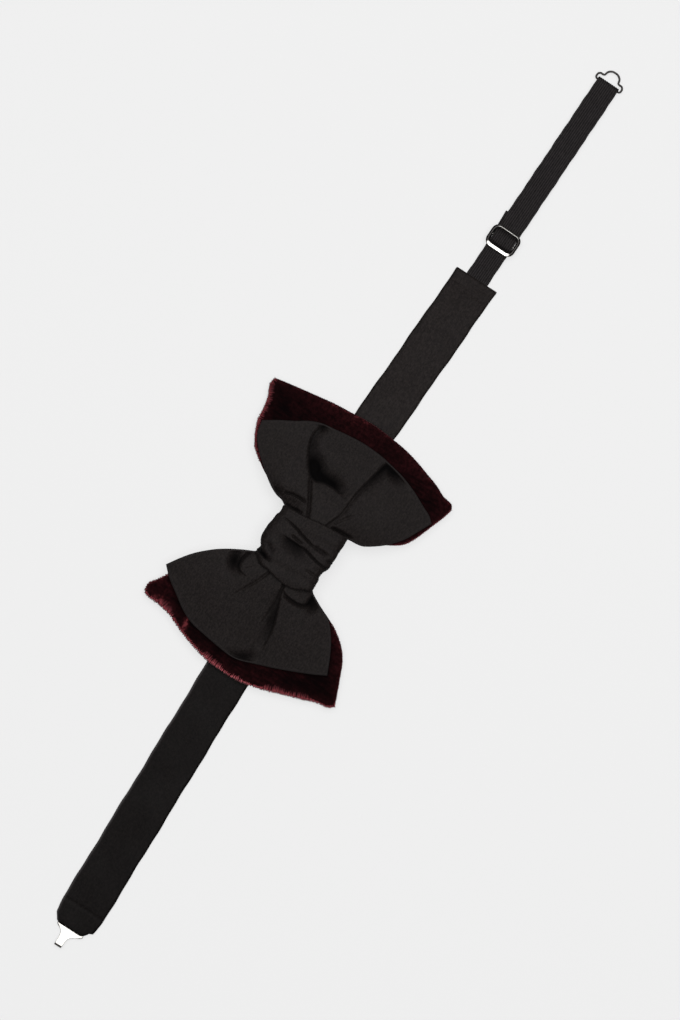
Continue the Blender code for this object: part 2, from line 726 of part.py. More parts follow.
# ---------------------------------------------------------------- assembly
def build():
    root = body("axis_bow", (0, 0, 0))
    ends = (on_line(-CENTRE_HALF + BAND_GAP / 2), on_line(CENTRE_HALF - BAND_GAP / 2))
    inner = (on_line(-CENTRE_HALF + BAND_GAP), on_line(CENTRE_HALF - BAND_GAP))
    tube("neckband_centre", *ends, root)
    lining("neckband_centre_lining", *inner, root)
    waist("velvet_waist", VELVET_LOW, VELVET_TOP, root, VELVET)
    waist("satin_waist", SATIN_LOW, SATIN_TOP, root, SATIN)
    cinch_thread(root)
    pad_y = (sum(KNOT_Y) / 2, (PAD_LOW + PAD_TOP) / 2)
    pad_width = KNOT_Y[1] - KNOT_Y[0] - 2 * (KNOT_WALL + CLEAR + PAD_INSET)
    slab("knot_pad", (KNOT_X[0] + PAD_INSET, *pad_y), (KNOT_X[1] - PAD_INSET, *pad_y), pad_width,
         PAD, PAD_EDGE, root, FELT)
    knot_wrap(root)
    knot_seam_stitch(root)
    wing_pair("hook", -1, VELVET_HOOK, SATIN_HOOK, root)
    wing_pair("slider", 1, VELVET_SLIDER, SATIN_SLIDER, root)

    hook_end = band_chain("hook", HOOK_BENDS, HOOK_BAND_END, root)
    hook_fold(hook_end)
    hook_end_stitch(hook_end)
    hook(body("axis_hook", (HOOK_BAR_X, HOOK_END_Y, BAND / 2), hook_end))

    slider_end = band_chain("slider", SLIDER_BENDS, SLIDER_BAND_END, root)
    fixed_run(slider_end)
    cross = elastic_frame() @ Vector((CROSS_AT * MM, 0, CROSS_LOW * MM))
    slider = body("axis_slider", cross / MM, slider_end)
    slide_buckle(slider)
    upper_run(slider)
    lower_run(slider)
    tab_stitch(slider)
    bar = elastic_frame() @ Vector((EYE_AT * MM, 0, EYE_LEVEL * MM))
    carrier = body("axis_eye_carrier", bar / MM, slider)
    eye_bend(carrier)
    eye(body("axis_eye", bar / MM, carrier))


build()
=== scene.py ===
import json
import math

import bmesh
import bpy
import numpy as np
from mathutils import Matrix, Vector


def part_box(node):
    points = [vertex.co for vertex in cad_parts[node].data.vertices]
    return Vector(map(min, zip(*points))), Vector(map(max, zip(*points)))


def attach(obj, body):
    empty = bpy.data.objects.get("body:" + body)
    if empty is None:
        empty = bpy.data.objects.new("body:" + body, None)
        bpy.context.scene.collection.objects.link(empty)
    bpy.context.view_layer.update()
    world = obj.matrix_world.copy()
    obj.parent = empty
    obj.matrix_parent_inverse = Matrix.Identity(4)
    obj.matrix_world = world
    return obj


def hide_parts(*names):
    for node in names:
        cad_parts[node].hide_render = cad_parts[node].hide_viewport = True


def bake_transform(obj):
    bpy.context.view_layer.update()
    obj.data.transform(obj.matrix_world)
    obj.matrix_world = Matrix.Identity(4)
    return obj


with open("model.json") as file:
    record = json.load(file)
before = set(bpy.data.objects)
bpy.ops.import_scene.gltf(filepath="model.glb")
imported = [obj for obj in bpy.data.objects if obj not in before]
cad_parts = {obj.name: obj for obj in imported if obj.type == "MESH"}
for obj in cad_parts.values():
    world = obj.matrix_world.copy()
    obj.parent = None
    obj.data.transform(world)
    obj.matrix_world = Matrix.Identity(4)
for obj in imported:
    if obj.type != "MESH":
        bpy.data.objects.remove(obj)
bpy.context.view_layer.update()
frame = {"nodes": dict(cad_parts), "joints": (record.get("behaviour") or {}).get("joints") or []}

MM = 0.001
SCENE = bpy.context.scene
RNG = np.random.default_rng(20)
JOINTS = {joint["name"]: joint for joint in frame["joints"]}


# ---------------------------------------------------------------- reading the frame
def low(node):
    return np.array(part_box(node)[0]) / MM


def high(node):
    return np.array(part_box(node)[1]) / MM


def pivot(joint):
    return np.array(JOINTS[joint]["pos_m"]) / MM


# ---------------------------------------------------------------- camera, light and floor
AIM = Vector((0.02235, -0.00361, 0.0))
VIEW_TURN = math.radians(57.1)
VIEW_SPAN = 0.4182
LENS, SENSOR = 120.0, 36.0
BACKDROP = 0.855            # the surround as the camera sees it
SURROUND = 0.10             # and as it lights the cloth
LIGHT_AT = Vector((0.26, 0.04, 1.50))
LIGHT_SIZE, LIGHT_POWER = 1.7, 29.5
FLOOR_SIZE = 4
FLOOR_DROP = 0.0001         # just under the lowest piece
FLOOR_FADE = (0.25, 1.2, 0.20, 0.0)   # distances it fades over, share shown at each


def camera():
    shot = bpy.data.objects.new("camera", bpy.data.cameras.new("camera"))
    SCENE.collection.objects.link(shot)
    shot.data.lens = LENS
    shot.data.sensor_width = SENSOR
    shot.data.clip_start = 0.01
    shot.data.clip_end = 20.0
    right = Vector((math.cos(VIEW_TURN), -math.sin(VIEW_TURN), 0))
    up = Vector((math.sin(VIEW_TURN), math.cos(VIEW_TURN), 0))
    axes = Matrix((right, up, Vector((0, 0, 1)))).transposed().to_4x4()
    shot.matrix_world = Matrix.Translation(AIM + Vector((0, 0, VIEW_SPAN * LENS / SENSOR))) @ axes
    SCENE.camera = shot


def soft_box():
    data = bpy.data.lights.new("soft_box", "AREA")
    data.shape = "DISK"
    data.size = LIGHT_SIZE
    data.energy = LIGHT_POWER
    made = bpy.data.objects.new("soft_box", data)
    SCENE.collection.objects.link(made)
    made.location = LIGHT_AT
    made.rotation_euler = (AIM - LIGHT_AT).to_track_quat("-Z", "Y").to_euler()


def studio():
    """A white surround for the camera, dimmer for lighting, under one broad soft light."""
    SCENE.view_settings.view_transform = "Standard"
    world = bpy.data.worlds.new("studio")
    SCENE.world = world
    world.use_nodes = True
    tree = world.node_tree
    back = tree.nodes["Background"]
    path = tree.nodes.new("ShaderNodeLightPath")
    level = tree.nodes.new("ShaderNodeMix")
    level.data_type = "FLOAT"
    tree.links.new(path.outputs["Is Camera Ray"], level.inputs[0])
    level.inputs[2].default_value = SURROUND
    level.inputs[3].default_value = BACKDROP
    back.inputs["Color"].default_value = (1, 1, 1, 1)
    tree.links.new(level.outputs[0], back.inputs["Strength"])
    soft_box()


def floor():
    """A pale table top that takes a faint shadow and melts into the surround further out."""
    bpy.ops.mesh.primitive_plane_add(size=FLOOR_SIZE, location=(AIM.x, AIM.y, -FLOOR_DROP))
    top = bpy.context.object
    top.name = "floor"
    m = new_material("floor")
    tree = m.node_tree
    shader = tree.nodes["Principled BSDF"]
    shader.inputs["Base Color"].default_value = (0.86, 0.86, 0.86, 1)
    shader.inputs["Roughness"].default_value = 1.0
    shader.inputs["Specular IOR Level"].default_value = 0.0
    clear = tree.nodes.new("ShaderNodeBsdfTransparent")
    mix = tree.nodes.new("ShaderNodeMixShader")
    place = tree.nodes.new("ShaderNodeTexCoord")
    reach = tree.nodes.new("ShaderNodeVectorMath")
    reach.operation = "LENGTH"
    fade = tree.nodes.new("ShaderNodeMapRange")
    fade.interpolation_type = "SMOOTHSTEP"
    for socket, value in zip(fade.inputs[1:5], FLOOR_FADE):
        socket.default_value = value
    tree.links.new(place.outputs["Object"], reach.inputs[0])
    tree.links.new(reach.outputs["Value"], fade.inputs["Value"])
    tree.links.new(fade.outputs["Result"], mix.inputs["Fac"])
    tree.links.new(clear.outputs[0], mix.inputs[1])
    tree.links.new(shader.outputs[0], mix.inputs[2])
    tree.links.new(mix.outputs[0], tree.nodes["Material Output"].inputs["Surface"])
    top.data.materials.append(m)


# ---------------------------------------------------------------- materials
def new_material(name):
    made = bpy.data.materials.new(name)
    made.use_nodes = True
    return made


class Paint:
    """Node building for one material."""

    def __init__(self, name, **sockets):
        self.material = new_material(name)
        self.tree = self.material.node_tree
        self.shader = self.tree.nodes["Principled BSDF"]
        for socket, value in sockets.items():
            self.shader.inputs[socket.replace("_", " ")].default_value = value

    def node(self, kind, **values):
        made = self.tree.nodes.new("ShaderNode" + kind)
        for key, value in values.items():
            setattr(made, key, value)
        return made

    def link(self, source, target):
        self.tree.links.new(source, target)

    def place(self, scale, turn=0.0):
        """Object coordinates in millimetres, stretched and turned about Z."""
        where = self.node("TexCoord")
        spin = self.node("Mapping")
        spin.inputs["Rotation"].default_value = (0, 0, math.radians(turn))
        spin.inputs["Scale"].default_value = [s / MM for s in scale]
        self.link(where.outputs["Object"], spin.inputs["Vector"])
        return spin.outputs["Vector"]

    def noise(self, scale, turn=0.0, detail=2.0, rough=0.5):
        """Noise whose grains are 1/scale millimetres along each axis."""
        made = self.node("TexNoise")
        made.inputs["Scale"].default_value = 1.0
        made.inputs["Detail"].default_value = detail
        made.inputs["Roughness"].default_value = rough
        self.link(self.place(scale, turn), made.inputs["Vector"])
        return made.outputs["Fac"]

    def ramp(self, source, stops):
        made = self.node("ValToRGB")
        elements = made.color_ramp.elements
        while len(elements) < len(stops):
            elements.new(0.5)
        for element, (at, colour) in zip(elements, stops):
            element.position = at
            element.color = (*colour, 1.0)
        self.link(source, made.inputs["Fac"])
        return made.outputs["Color"]

    def span(self, source, from_low, from_high, to_low, to_high):
        made = self.node("MapRange")
        for socket, value in zip(made.inputs[1:5], (from_low, from_high, to_low, to_high)):
            socket.default_value = value
        self.link(source, made.inputs["Value"])
        return made.outputs["Result"]

    def maths(self, operation, a, b):
        made = self.node("Math", operation=operation)
        for socket, value in zip(made.inputs, (a, b)):
            if isinstance(value, float):
                socket.default_value = value
            else:
                self.link(value, socket)
        return made.outputs[0]

    def mixed(self, factor, a, b):
        made = self.node("Mix", data_type="RGBA")
        for socket, value in zip((made.inputs[0], made.inputs[6], made.inputs[7]), (factor, a, b)):
            if isinstance(value, tuple):
                socket.default_value = value
            else:
                self.link(value, socket)
        return made.outputs[2]

    def attribute(self, name):
        return self.node("Attribute", attribute_name=name).outputs["Fac"]

    def bump(self, heights):
        """Bumps in a chain: (height socket, depth in millimetres, strength)."""
        previous = None
        for height, depth, strength in heights:
            made = self.node("Bump")
            made.inputs["Distance"].default_value = depth * MM
            made.inputs["Strength"].default_value = strength
            self.link(height, made.inputs["Height"])
            if previous:
                self.link(previous, made.inputs["Normal"])
            previous = made.outputs["Normal"]
        self.link(previous, self.shader.inputs["Normal"])

    def colour(self, source):
        self.link(source, self.shader.inputs["Base Color"])

    def roughness(self, source):
        self.link(source, self.shader.inputs["Roughness"])


def satin(name, grain_turn, tone=1.0):
    """Black warp-faced satin: long floats along the grain, fine slubs and lint; marks add a painted
    highlight on rims and painted shade in folds, and tone paints a piece darker or lighter.
    """
    p = Paint(name, Specular_IOR_Level=0.05, Anisotropic=0.3, Sheen_Weight=0.012,
              Sheen_Roughness=0.5, Sheen_Tint=(0.9, 0.86, 0.88, 1))
    floats = p.noise((0.5, 3.4, 2.0), grain_turn, detail=3.0)
    weft = p.noise((3.4, 0.6, 2.0), grain_turn, detail=2.0)
    grain = p.noise((1.15, 1.15, 1.15), 0.0, detail=4.0, rough=0.85)
    clouds = p.noise((0.07, 0.07, 0.07), 0.0, detail=3.0)
    # tone gives lit and shaded copies of the satin: painted light on the two band sides.
    dark = tuple(tone * c for c in (0.0046, 0.0034, 0.0033)) + (1,)
    light = tuple(tone * c for c in (0.0160, 0.0128, 0.0121)) + (1,)
    weave = p.maths("MULTIPLY", p.span(floats, 0.25, 0.75, 0.0, 1.0),
                    p.span(grain, 0.37, 0.63, 0.10, 1.90))
    face = p.mixed(weave, dark, light)
    # Rims painted lighter: a painted highlight where the edge would catch the light.
    edge_highlighted = p.mixed(p.attribute("wear_and_edge_highlight"), face, (0.062, 0.056, 0.057, 1))
    # Folds painted towards black: painted shade.
    painted_fold_shade = p.attribute("painted_fold_shade")
    p.colour(p.mixed(painted_fold_shade, edge_highlighted, (0.0010, 0.0007, 0.0008, 1)))
    wear = p.maths("ADD", p.span(clouds, 0.3, 0.7, 0.0, 0.08), p.span(floats, 0.3, 0.7, 0.44, 0.54))
    p.roughness(p.maths("ADD", wear, p.span(painted_fold_shade, 0.0, 1.0, 0.0, 0.35)))
    p.bump([(clouds, 0.6, 0.20), (grain, 0.16, 0.5), (weft, 0.05, 0.35), (floats, 0.06, 0.5)])
    return p.material


def velvet(name):
    """Burgundy silk velvet: short dense pile, crushed in patches, that brightens where it leans; painted
    sheen near the free edges and painted shade further in.
    """
    p = Paint(name, Specular_IOR_Level=0.02, Sheen_Weight=0.03, Sheen_Roughness=0.30,
              Sheen_Tint=(0.62, 0.10, 0.14, 1), Roughness=0.85)
    pile = p.noise((2.6, 2.6, 2.6), 0.0, detail=4.0, rough=0.65)
    mottle = p.noise((0.75, 0.75, 0.75), 0.0, detail=4.0, rough=0.7)
    streak = p.noise((0.9, 0.16, 0.5), 12.0, detail=3.0)
    lean = p.noise((0.10, 0.10, 0.10), 0.0, detail=2.0)
    tone = p.maths("MULTIPLY", p.span(streak, 0.3, 0.75, 0.25, 0.75), p.span(lean, 0.35, 0.7, 0.5, 1.3))
    # Adds the wing's painted sheen and painted shade.
    tone = p.maths("ADD", tone, p.attribute("pile_sheen_and_shade"))
    tone = p.maths("MULTIPLY", tone, p.span(mottle, 0.36, 0.66, 0.35, 1.65))
    p.colour(p.ramp(p.maths("MULTIPLY", tone, 0.4), [
        (0.0, (0.0022, 0.0008, 0.0010)), (0.4, (0.0190, 0.0036, 0.0043)),
        (1.0, (0.1200, 0.0220, 0.0260))]))
    p.roughness(p.span(pile, 0.2, 0.8, 0.75, 0.95))
    p.bump([(lean, 0.8, 0.3), (streak, 0.3, 0.5), (mottle, 0.4, 0.5), (pile, 0.25, 0.9)])
    return p.material


def pile_hair(name):
    """Pile tufts at the velvet's cut and folded edges: painted shade at the root and a painted pink
    highlight at the tip.
    """
    p = Paint(name, Roughness=0.6, Specular_IOR_Level=0.3, Sheen_Weight=0.1,
              Sheen_Roughness=0.4, Sheen_Tint=(0.8, 0.25, 0.3, 1))
    p.colour(p.ramp(p.attribute("along"), [
        (0.0, (0.012, 0.002, 0.004)), (0.35, (0.15, 0.016, 0.022)), (0.65, (0.48, 0.10, 0.12)),
        (1.0, (0.96, 0.50, 0.50))]))
    grains = p.noise((3.0, 3.0, 3.0))
    p.roughness(p.span(grains, 0.2, 0.8, 0.5, 0.8))
    p.bump([(grains, 0.05, 0.3)])
    return p.material


def elastic_web(name):
    """Black ribbed elastic: fine cross weave over the ribs, with painted shade in the grooves between
    them.
    """
    p = Paint(name, Specular_IOR_Level=0.08, Sheen_Weight=0.02, Sheen_Roughness=0.4,
              Sheen_Tint=(0.9, 0.88, 0.9, 1))
    picks = p.noise((1.6, 1.1, 1.4), -1.0, detail=1.0)
    fuzz = p.noise((2.0, 2.0, 2.0), 0.0, detail=4.0)
    web = p.mixed(picks, (0.0045, 0.0038, 0.0040, 1), (0.031, 0.0265, 0.0270, 1))
    # Grooves painted near-black: painted shade.
    p.colour(p.mixed(p.attribute("painted_groove_shade"), web, (0.0022, 0.0018, 0.0019, 1)))
    p.roughness(p.span(fuzz, 0.2, 0.8, 0.45, 0.7))
    p.bump([(fuzz, 0.05, 0.4), (picks, 0.30, 0.8)])
    return p.material


def nickel(name):
    """Bright nickel plate with faint rolling lines and rubbed patches; a mark paints it darker, as
    painted shade for dark reflections.
    """
    p = Paint(name, Metallic=1.0)
    lines = p.noise((0.5, 9.0, 3.0), 20.0, detail=3.0)
    wear_and_edge_highlight = p.noise((0.5, 0.5, 0.5), 0.0, detail=4.0)
    plate = p.mixed(p.span(wear_and_edge_highlight, 0.35, 0.7, 0.0, 1.0), (0.52, 0.505, 0.475, 1), (0.70, 0.685, 0.65, 1))
    # Darkened towards black by the mark: painted shade standing in for dark reflections.
    p.colour(p.mixed(p.attribute("painted_metal_shade"), plate, (0.040, 0.037, 0.036, 1)))
    rough = p.maths("ADD", p.span(wear_and_edge_highlight, 0.3, 0.7, 0.10, 0.20), p.span(lines, 0.3, 0.7, 0.0, 0.10))
    p.roughness(p.maths("ADD", rough, p.span(p.attribute("painted_metal_shade"), 0.4, 1.0, 0.0, 0.22)))
    p.bump([(wear_and_edge_highlight, 0.05, 0.15), (lines, 0.012, 0.3)])
    return p.material


def thread(name):
    """Twisted black sewing thread."""
    p = Paint(name, Specular_IOR_Level=0.3, Roughness=0.55)
    twist = p.noise((3.0, 8.0, 3.0), 35.0, detail=2.0)
    p.colour(p.mixed(twist, (0.004, 0.004, 0.004, 1), (0.020, 0.019, 0.019, 1)))
    p.bump([(twist, 0.08, 0.7)])
    return p.material


def felt(name):
    """Off-white non-woven interlining."""
    p = Paint(name, Specular_IOR_Level=0.1, Roughness=0.95)
    fibres = p.noise((1.5, 1.5, 1.5), 0.0, detail=5.0, rough=0.7)
    p.colour(p.mixed(fibres, (0.30, 0.29, 0.27, 1), (0.62, 0.60, 0.56, 1)))
    p.bump([(fibres, 0.1, 0.6)])
    return p.material


# ---------------------------------------------------------------- curves and fields
def smooth(a, b, t):
    """0 before a, 1 after b, with no corner between."""
    s = np.clip((t - a) / (b - a), 0.0, 1.0)
    return s * s * (3 - 2 * s)


def along_line(line, spacing):
    """Points of a polyline at the distances that spacing gives for its length."""
    gone = np.concatenate([[0], np.cumsum(np.linalg.norm(np.diff(line, axis=0), axis=1))])
    at = spacing(gone[-1])
    return np.column_stack([np.interp(at, gone, line[:, k]) for k in range(line.shape[1])])


def resampled(line, step):
    return along_line(line, lambda length: np.linspace(0, length, int(length / step) + 2))


def spline(points, count, closed=False):
    """A smooth curve through the points, as count points an equal distance apart."""
    p = np.asarray(points, float)
    if closed:
        p = np.vstack([p[-1], p, p[0], p[1]])
    else:
        p = np.vstack([2 * p[0] - p[1], p, 2 * p[-1] - p[-2]])
    t = np.linspace(0, 1, 24, endpoint=False)[:, None]
    runs = []
    for a, b, c, d in zip(p[:-3], p[1:-2], p[2:-1], p[3:]):
        runs.append(0.5 * (2 * b + (c - a) * t + (2 * a - 5 * b + 4 * c - d) * t ** 2
                           + (3 * b - a - 3 * c + d) * t ** 3))
    line = np.vstack(runs + [p[-2:-1]])
    return along_line(line, lambda length: np.linspace(0, length, count, endpoint=not closed))


def to_line(x, y, line):
    """Distance to a polyline, the side (left positive) and the share of its length."""
    best = np.full(x.shape, 1e9)
    side = np.zeros(x.shape)
    share = np.zeros(x.shape)
    steps = len(line) - 1
    for k, (a, b) in enumerate(zip(line[:-1], line[1:])):
        d = b - a
        t = np.clip(((x - a[0]) * d[0] + (y - a[1]) * d[1]) / (d @ d), 0, 1)
        px, py = x - a[0] - t * d[0], y - a[1] - t * d[1]
        far = np.hypot(px, py)
        nearer = far < best
        best = np.where(nearer, far, best)
        side = np.where(nearer, d[0] * (y - a[1]) - d[1] * (x - a[0]), side)
        share = np.where(nearer, (k + t) / steps, share)
    return best, np.sign(side), share


class Field:
    """Height added to a ply: folds, creases and hollows laid down one after another."""

    def __init__(self, x, y):
        self.x, self.y = x, y
        self.z = np.zeros(x.shape)

    def fold(self, points, rise, dip, high_side, low_side, sharp=0.5, fade=(0.0, 0.25)):
        """A step: the ply stands up left of the line and falls away right of it."""
        far, side, share = to_line(self.x, self.y, spline(points, 40))
        q = far * side
        up = smooth(-sharp, sharp, q)
        shape = (rise * np.exp(-(q / high_side) ** 2) * up
                 - dip * np.exp(-(q / low_side) ** 2) * (1 - up))
        self.z += shape * self.ends(share, fade)

    def crease(self, points, depth, width, fade=(0.0, 0.3)):
        far, _, share = to_line(self.x, self.y, spline(points, 40))
        self.z -= depth * np.exp(-(far / width) ** 2) * self.ends(share, fade)

    def hollow(self, centre, radii, depth, turn=0.0):
        """A rounded hollow, or a mound where depth is negative."""
        a = math.radians(turn)
        u = (self.x - centre[0]) * math.cos(a) + (self.y - centre[1]) * math.sin(a)
        v = (self.y - centre[1]) * math.cos(a) - (self.x - centre[0]) * math.sin(a)
        r = np.hypot(u / radii[0], v / radii[1])
        self.z -= depth * np.exp(-r ** 2.0)

    @staticmethod
    def ends(share, fade):
        """1 along a line, falling to 0 over the given shares of its length at each end."""
        start = smooth(0.0, fade[0], share) if fade[0] > 0 else 1.0
        stop = smooth(0.0, fade[1], 1 - share) if fade[1] > 0 else 1.0
        return start * stop


# ---------------------------------------------------------------- mesh making
def mesh_piece(name, verts, faces, material, flat=(), floats=None):
    """A mesh object from millimetre points; faces whose index is in flat stay flat."""
    mesh = bpy.data.meshes.new(name)
    mesh.from_pydata((np.asarray(verts) * MM).tolist(), [], [list(map(int, f)) for f in faces])
    mesh.polygons.foreach_set("use_smooth", [True] * len(mesh.polygons))
    for k in flat:
        mesh.polygons[k].use_smooth = False
        for loop in mesh.polygons[k].loop_indices:
            mesh.edges[mesh.loops[loop].edge_index].use_edge_sharp = True
    for key, values in (floats or {}).items():
        layer = mesh.attributes.new(key, "FLOAT", "POINT")
        layer.data.foreach_set("value", np.asarray(values, np.float32))
    mesh.materials.append(material)
    work = bmesh.new()
    work.from_mesh(mesh)
    bmesh.ops.recalc_face_normals(work, faces=work.faces)
    work.to_mesh(mesh)
    work.free()
    made = bpy.data.objects.new(name, mesh)
    SCENE.collection.objects.link(made)
    return made


def shell(front, back):
    """Closed skin of two point grids that share their border."""
    rows, cols = front.shape[:2]
    f = np.arange(rows * cols).reshape(rows, cols)
    b = f.copy()
    b[1:-1, 1:-1] = rows * cols + np.arange((rows - 2) * (cols - 2)).reshape(rows - 2, cols - 2)
    verts = np.vstack([front.reshape(-1, 3), back[1:-1, 1:-1].reshape(-1, 3)])
    quads = []
    for g, turned in ((f, False), (b, True)):
        q = np.stack([g[:-1, :-1], g[1:, :-1], g[1:, 1:], g[:-1, 1:]], -1).reshape(-1, 4)
        quads.append(q[:, ::-1] if turned else q)
    return verts, np.vstack(quads)


def padded_out(values, verts):
    """The values of the first points in verts, and zero for the rest of them."""
    return np.concatenate([values.reshape(-1), np.zeros(len(verts) - values.size)])


def loft(rings, closed_along=False):
    """Skin over rings of points (n, m, 3); open ends are capped."""
    n, m = rings.shape[:2]
    g = np.arange(n * m).reshape(n, m)
    nxt = np.roll(g, -1, axis=1)
    last = n if closed_along else n - 1
    faces = []
    for k in range(last):
        a, b = g[k], g[(k + 1) % n]
        a2, b2 = nxt[k], nxt[(k + 1) % n]
        faces += np.stack([a, a2, b2, b], -1).tolist()
    flat = []
    if not closed_along:
        flat = [len(faces), len(faces) + 1]
        faces += [g[0][::-1].tolist(), g[-1].tolist()]
    return rings.reshape(-1, 3), faces, flat


def piece_done(made, slot, body=None, blend=None, nodes=()):
    """The piece rides one body; when a blend is given, only its transform is baked into its points."""
    if blend:
        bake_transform(made)
    else:
        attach(made, body)
    if nodes:
        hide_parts(*nodes)


# ---------------------------------------------------------------- wings
RIM_STEPS = (0.0, 0.02, 0.08, 0.18, 0.34, 0.56, 0.8, 1.0)


def spaced(count, length, rim):
    """Shares from 0 to 1, crowded within rim of both ends."""
    near = np.array(RIM_STEPS) * rim / length
    middle = np.linspace(near[-1], 1 - near[-1], count - 2 * len(near) + 2)
    return np.concatenate([near[:-1], middle, 1 - near[:-1][::-1]])


def coons(root, top, outer, lower, u, v):
    """Points of a four-sided patch: u from root to outer edge, v from lower to upper."""

    def at(line, t):
        gone = np.linspace(0, 1, len(line))
        return np.column_stack([np.interp(t, gone, line[:, k]) for k in (0, 1)])

    inner, outside, above, below = at(root, v), at(outer, v), at(top, u), at(lower, u)
    a, b = u[:, None, None], v[None, :, None]
    corner = ((1 - a) * (1 - b) * root[0] + a * (1 - b) * outer[0]
              + (1 - a) * b * root[-1] + a * b * outer[-1])
    return ((1 - a) * inner[None] + a * outside[None] + (1 - b) * below[:, None]
            + b * above[:, None] - corner)


DROOP_FROM, DROOP_REACH = 15.9, 43.1      # |x| where the fall starts, and how far it runs
DROOP_MIDDLE, DROOP_CORNER = 1.2, 2.0     # fall at the middle, and what the corners add
CORNER_Y = 46


def droop(x, y):
    """The wings' fall from the knot outwards, as the CAD wings have it."""
    share = np.clip(np.abs(x) - DROOP_FROM, 0, None) / DROOP_REACH
    return share * (DROOP_MIDDLE + DROOP_CORNER * (y / CORNER_Y) ** 2)


TUFT_PITCH = 0.80
WING_REACH, WING_HEIGHT = 42.0, 75.0      # nominal, to space the points near the rim
WING_MIDDLE = 25.0                        # |x| of a place well inside a wing


class Wing:
    """Outline of one wing, in the sense that +x is away from the knot."""

    def __init__(self, sign, root, top, outer, lower):
        flip = np.array([sign, 1.0])
        self.sign = sign
        self.root = spline(np.array(root) * flip, 80)
        self.top = spline(np.array(top) * flip, 160)
        self.outer = spline(np.array(outer) * flip, 240)
        self.lower = spline(np.array(lower) * flip, 160)

    def fit(self, node):
        """Scaled so that its reach and height are the CAD wing's."""
        lo, hi = low(node), high(node)
        everything = np.vstack([self.top, self.outer, self.lower])
        reach = hi[0] if self.sign > 0 else lo[0]
        kx = reach / (everything[:, 0].max() if self.sign > 0 else everything[:, 0].min())
        for line in (self.root, self.top, self.outer, self.lower):
            line[:, 0] *= kx
            line[:, 1] *= np.where(line[:, 1] > 0, hi[1] / everything[:, 1].max(),
                                   lo[1] / everything[:, 1].min())

    def patch(self, rim, counts):
        u = spaced(counts[0], WING_REACH, rim)
        v = spaced(counts[1], WING_HEIGHT, rim)
        flat = coons(self.root, self.top, self.outer, self.lower, u, v)
        x, y = flat[..., 0], flat[..., 1]
        border = np.vstack([self.root[::-1], self.lower, self.outer, self.top[::-1]])
        edge = to_line(x, y, border[::2])[0]
        free = to_line(x, y, np.vstack([self.lower, self.outer, self.top[::-1]])[::2])[0]
        edge[0], edge[-1], edge[:, 0], edge[:, -1] = 0, 0, 0, 0
        return x, y, edge, free, u


SATIN_L = Wing(-1,
    root=[(11.0, -11.0), (10.5, 0.0), (10.0, 15.5)],
    top=[(10.0, 15.5), (10.8, 17.0), (13.1, 21.6), (16.1, 26.7), (19.3, 31.1), (24.4, 36.5),
         (29.4, 40.4), (35.0, 44.0)],
    outer=[(37.5, -36.0), (40.2, -31.0), (43.2, -24.5), (46.4, -17.0), (49.4, -9.0), (51.7, -2.5),
           (52.3, 2.0), (51.8, 8.0), (50.8, 15.0), (49.6, 22.0), (47.0, 28.0), (43.0, 34.0),
           (39.0, 39.8), (35.0, 44.0)],
    lower=[(11.0, -11.0), (12.7, -13.8), (14.5, -17.2), (16.3, -21.0), (18.7, -24.8), (24.0, -29.2),
           (30.0, -32.6), (37.5, -36.0)])
SATIN_R = Wing(1,
    root=[(13.6, -11.8), (11.2, 0.0), (11.5, 16.0)],
    top=[(11.5, 16.0), (12.9, 18.6), (13.5, 21.5), (15.0, 24.8), (17.6, 28.7), (21.2, 33.2),
         (25.3, 37.8), (30.2, 41.6), (36.0, 43.0)],
    outer=[(38.0, -38.0), (40.2, -35.5), (42.3, -31.0), (45.2, -25.0), (47.7, -18.0),
           (49.2, -11.0), (50.1, -6.0), (50.5, 2.0), (50.1, 8.0), (49.2, 15.0), (48.1, 22.0),
           (46.0, 27.0), (43.0, 31.6), (39.8, 37.2), (36.0, 43.0)],
    lower=[(13.6, -11.8), (14.1, -14.0), (14.3, -16.8), (14.9, -19.4), (16.7, -22.4), (19.7, -26.3),
           (22.8, -29.3), (27.0, -32.6), (33.0, -35.6), (38.0, -38.0)])
VELVET_L = Wing(-1,
    root=[(9.5, -10.5), (9.0, 0.0), (9.0, 14.0)],
    top=[(9.0, 14.0), (13.0, 20.0), (18.0, 27.5), (24.0, 34.0), (31.0, 38.6), (38.0, 41.4),
         (42.0, 43.8), (45.2, 46.0), (48.6, 45.8)],
    outer=[(46.4, -45.5), (48.2, -43.0), (49.0, -38.0), (51.2, -32.0), (53.8, -24.5),
           (56.0, -18.0), (57.9, -11.0), (59.0, -5.0), (59.0, 4.0), (58.4, 10.0), (56.5, 18.0),
           (54.2, 25.0), (51.3, 32.0), (50.1, 39.0), (49.9, 43.5), (48.6, 45.8)],
    lower=[(9.5, -10.5), (13.0, -14.0), (15.8, -20.0), (17.6, -24.2), (20.0, -28.8),
           (24.0, -34.0), (29.0, -38.0), (37.0, -41.6), (46.4, -45.5)])
VELVET_R = Wing(1,
    root=[(12.6, -11.0), (9.8, 0.0), (10.0, 14.0)],
    top=[(10.0, 14.0), (14.0, 20.5), (18.0, 29.5), (22.0, 35.8), (25.2, 39.6), (30.0, 42.6),
         (35.0, 44.6), (40.0, 45.2), (45.0, 46.2), (50.0, 48.4), (53.2, 48.0)],
    outer=[(47.0, -42.0), (49.0, -40.4), (49.9, -36.0), (52.0, -31.5), (53.6, -26.5),
           (55.8, -19.5), (57.4, -12.5), (58.3, -5.0), (58.8, 2.0), (58.7, 8.0), (58.1, 15.0),
           (57.5, 22.0), (56.3, 30.0), (55.0, 38.0), (54.0, 44.0), (53.2, 48.0)],
    lower=[(12.6, -11.0), (15.0, -15.0), (16.6, -20.0), (18.4, -23.4), (20.5, -27.4), (24.0, -32.6),
           (28.0, -35.4), (33.0, -37.4), (38.0, -39.2), (43.0, -41.0), (47.0, -42.0)])


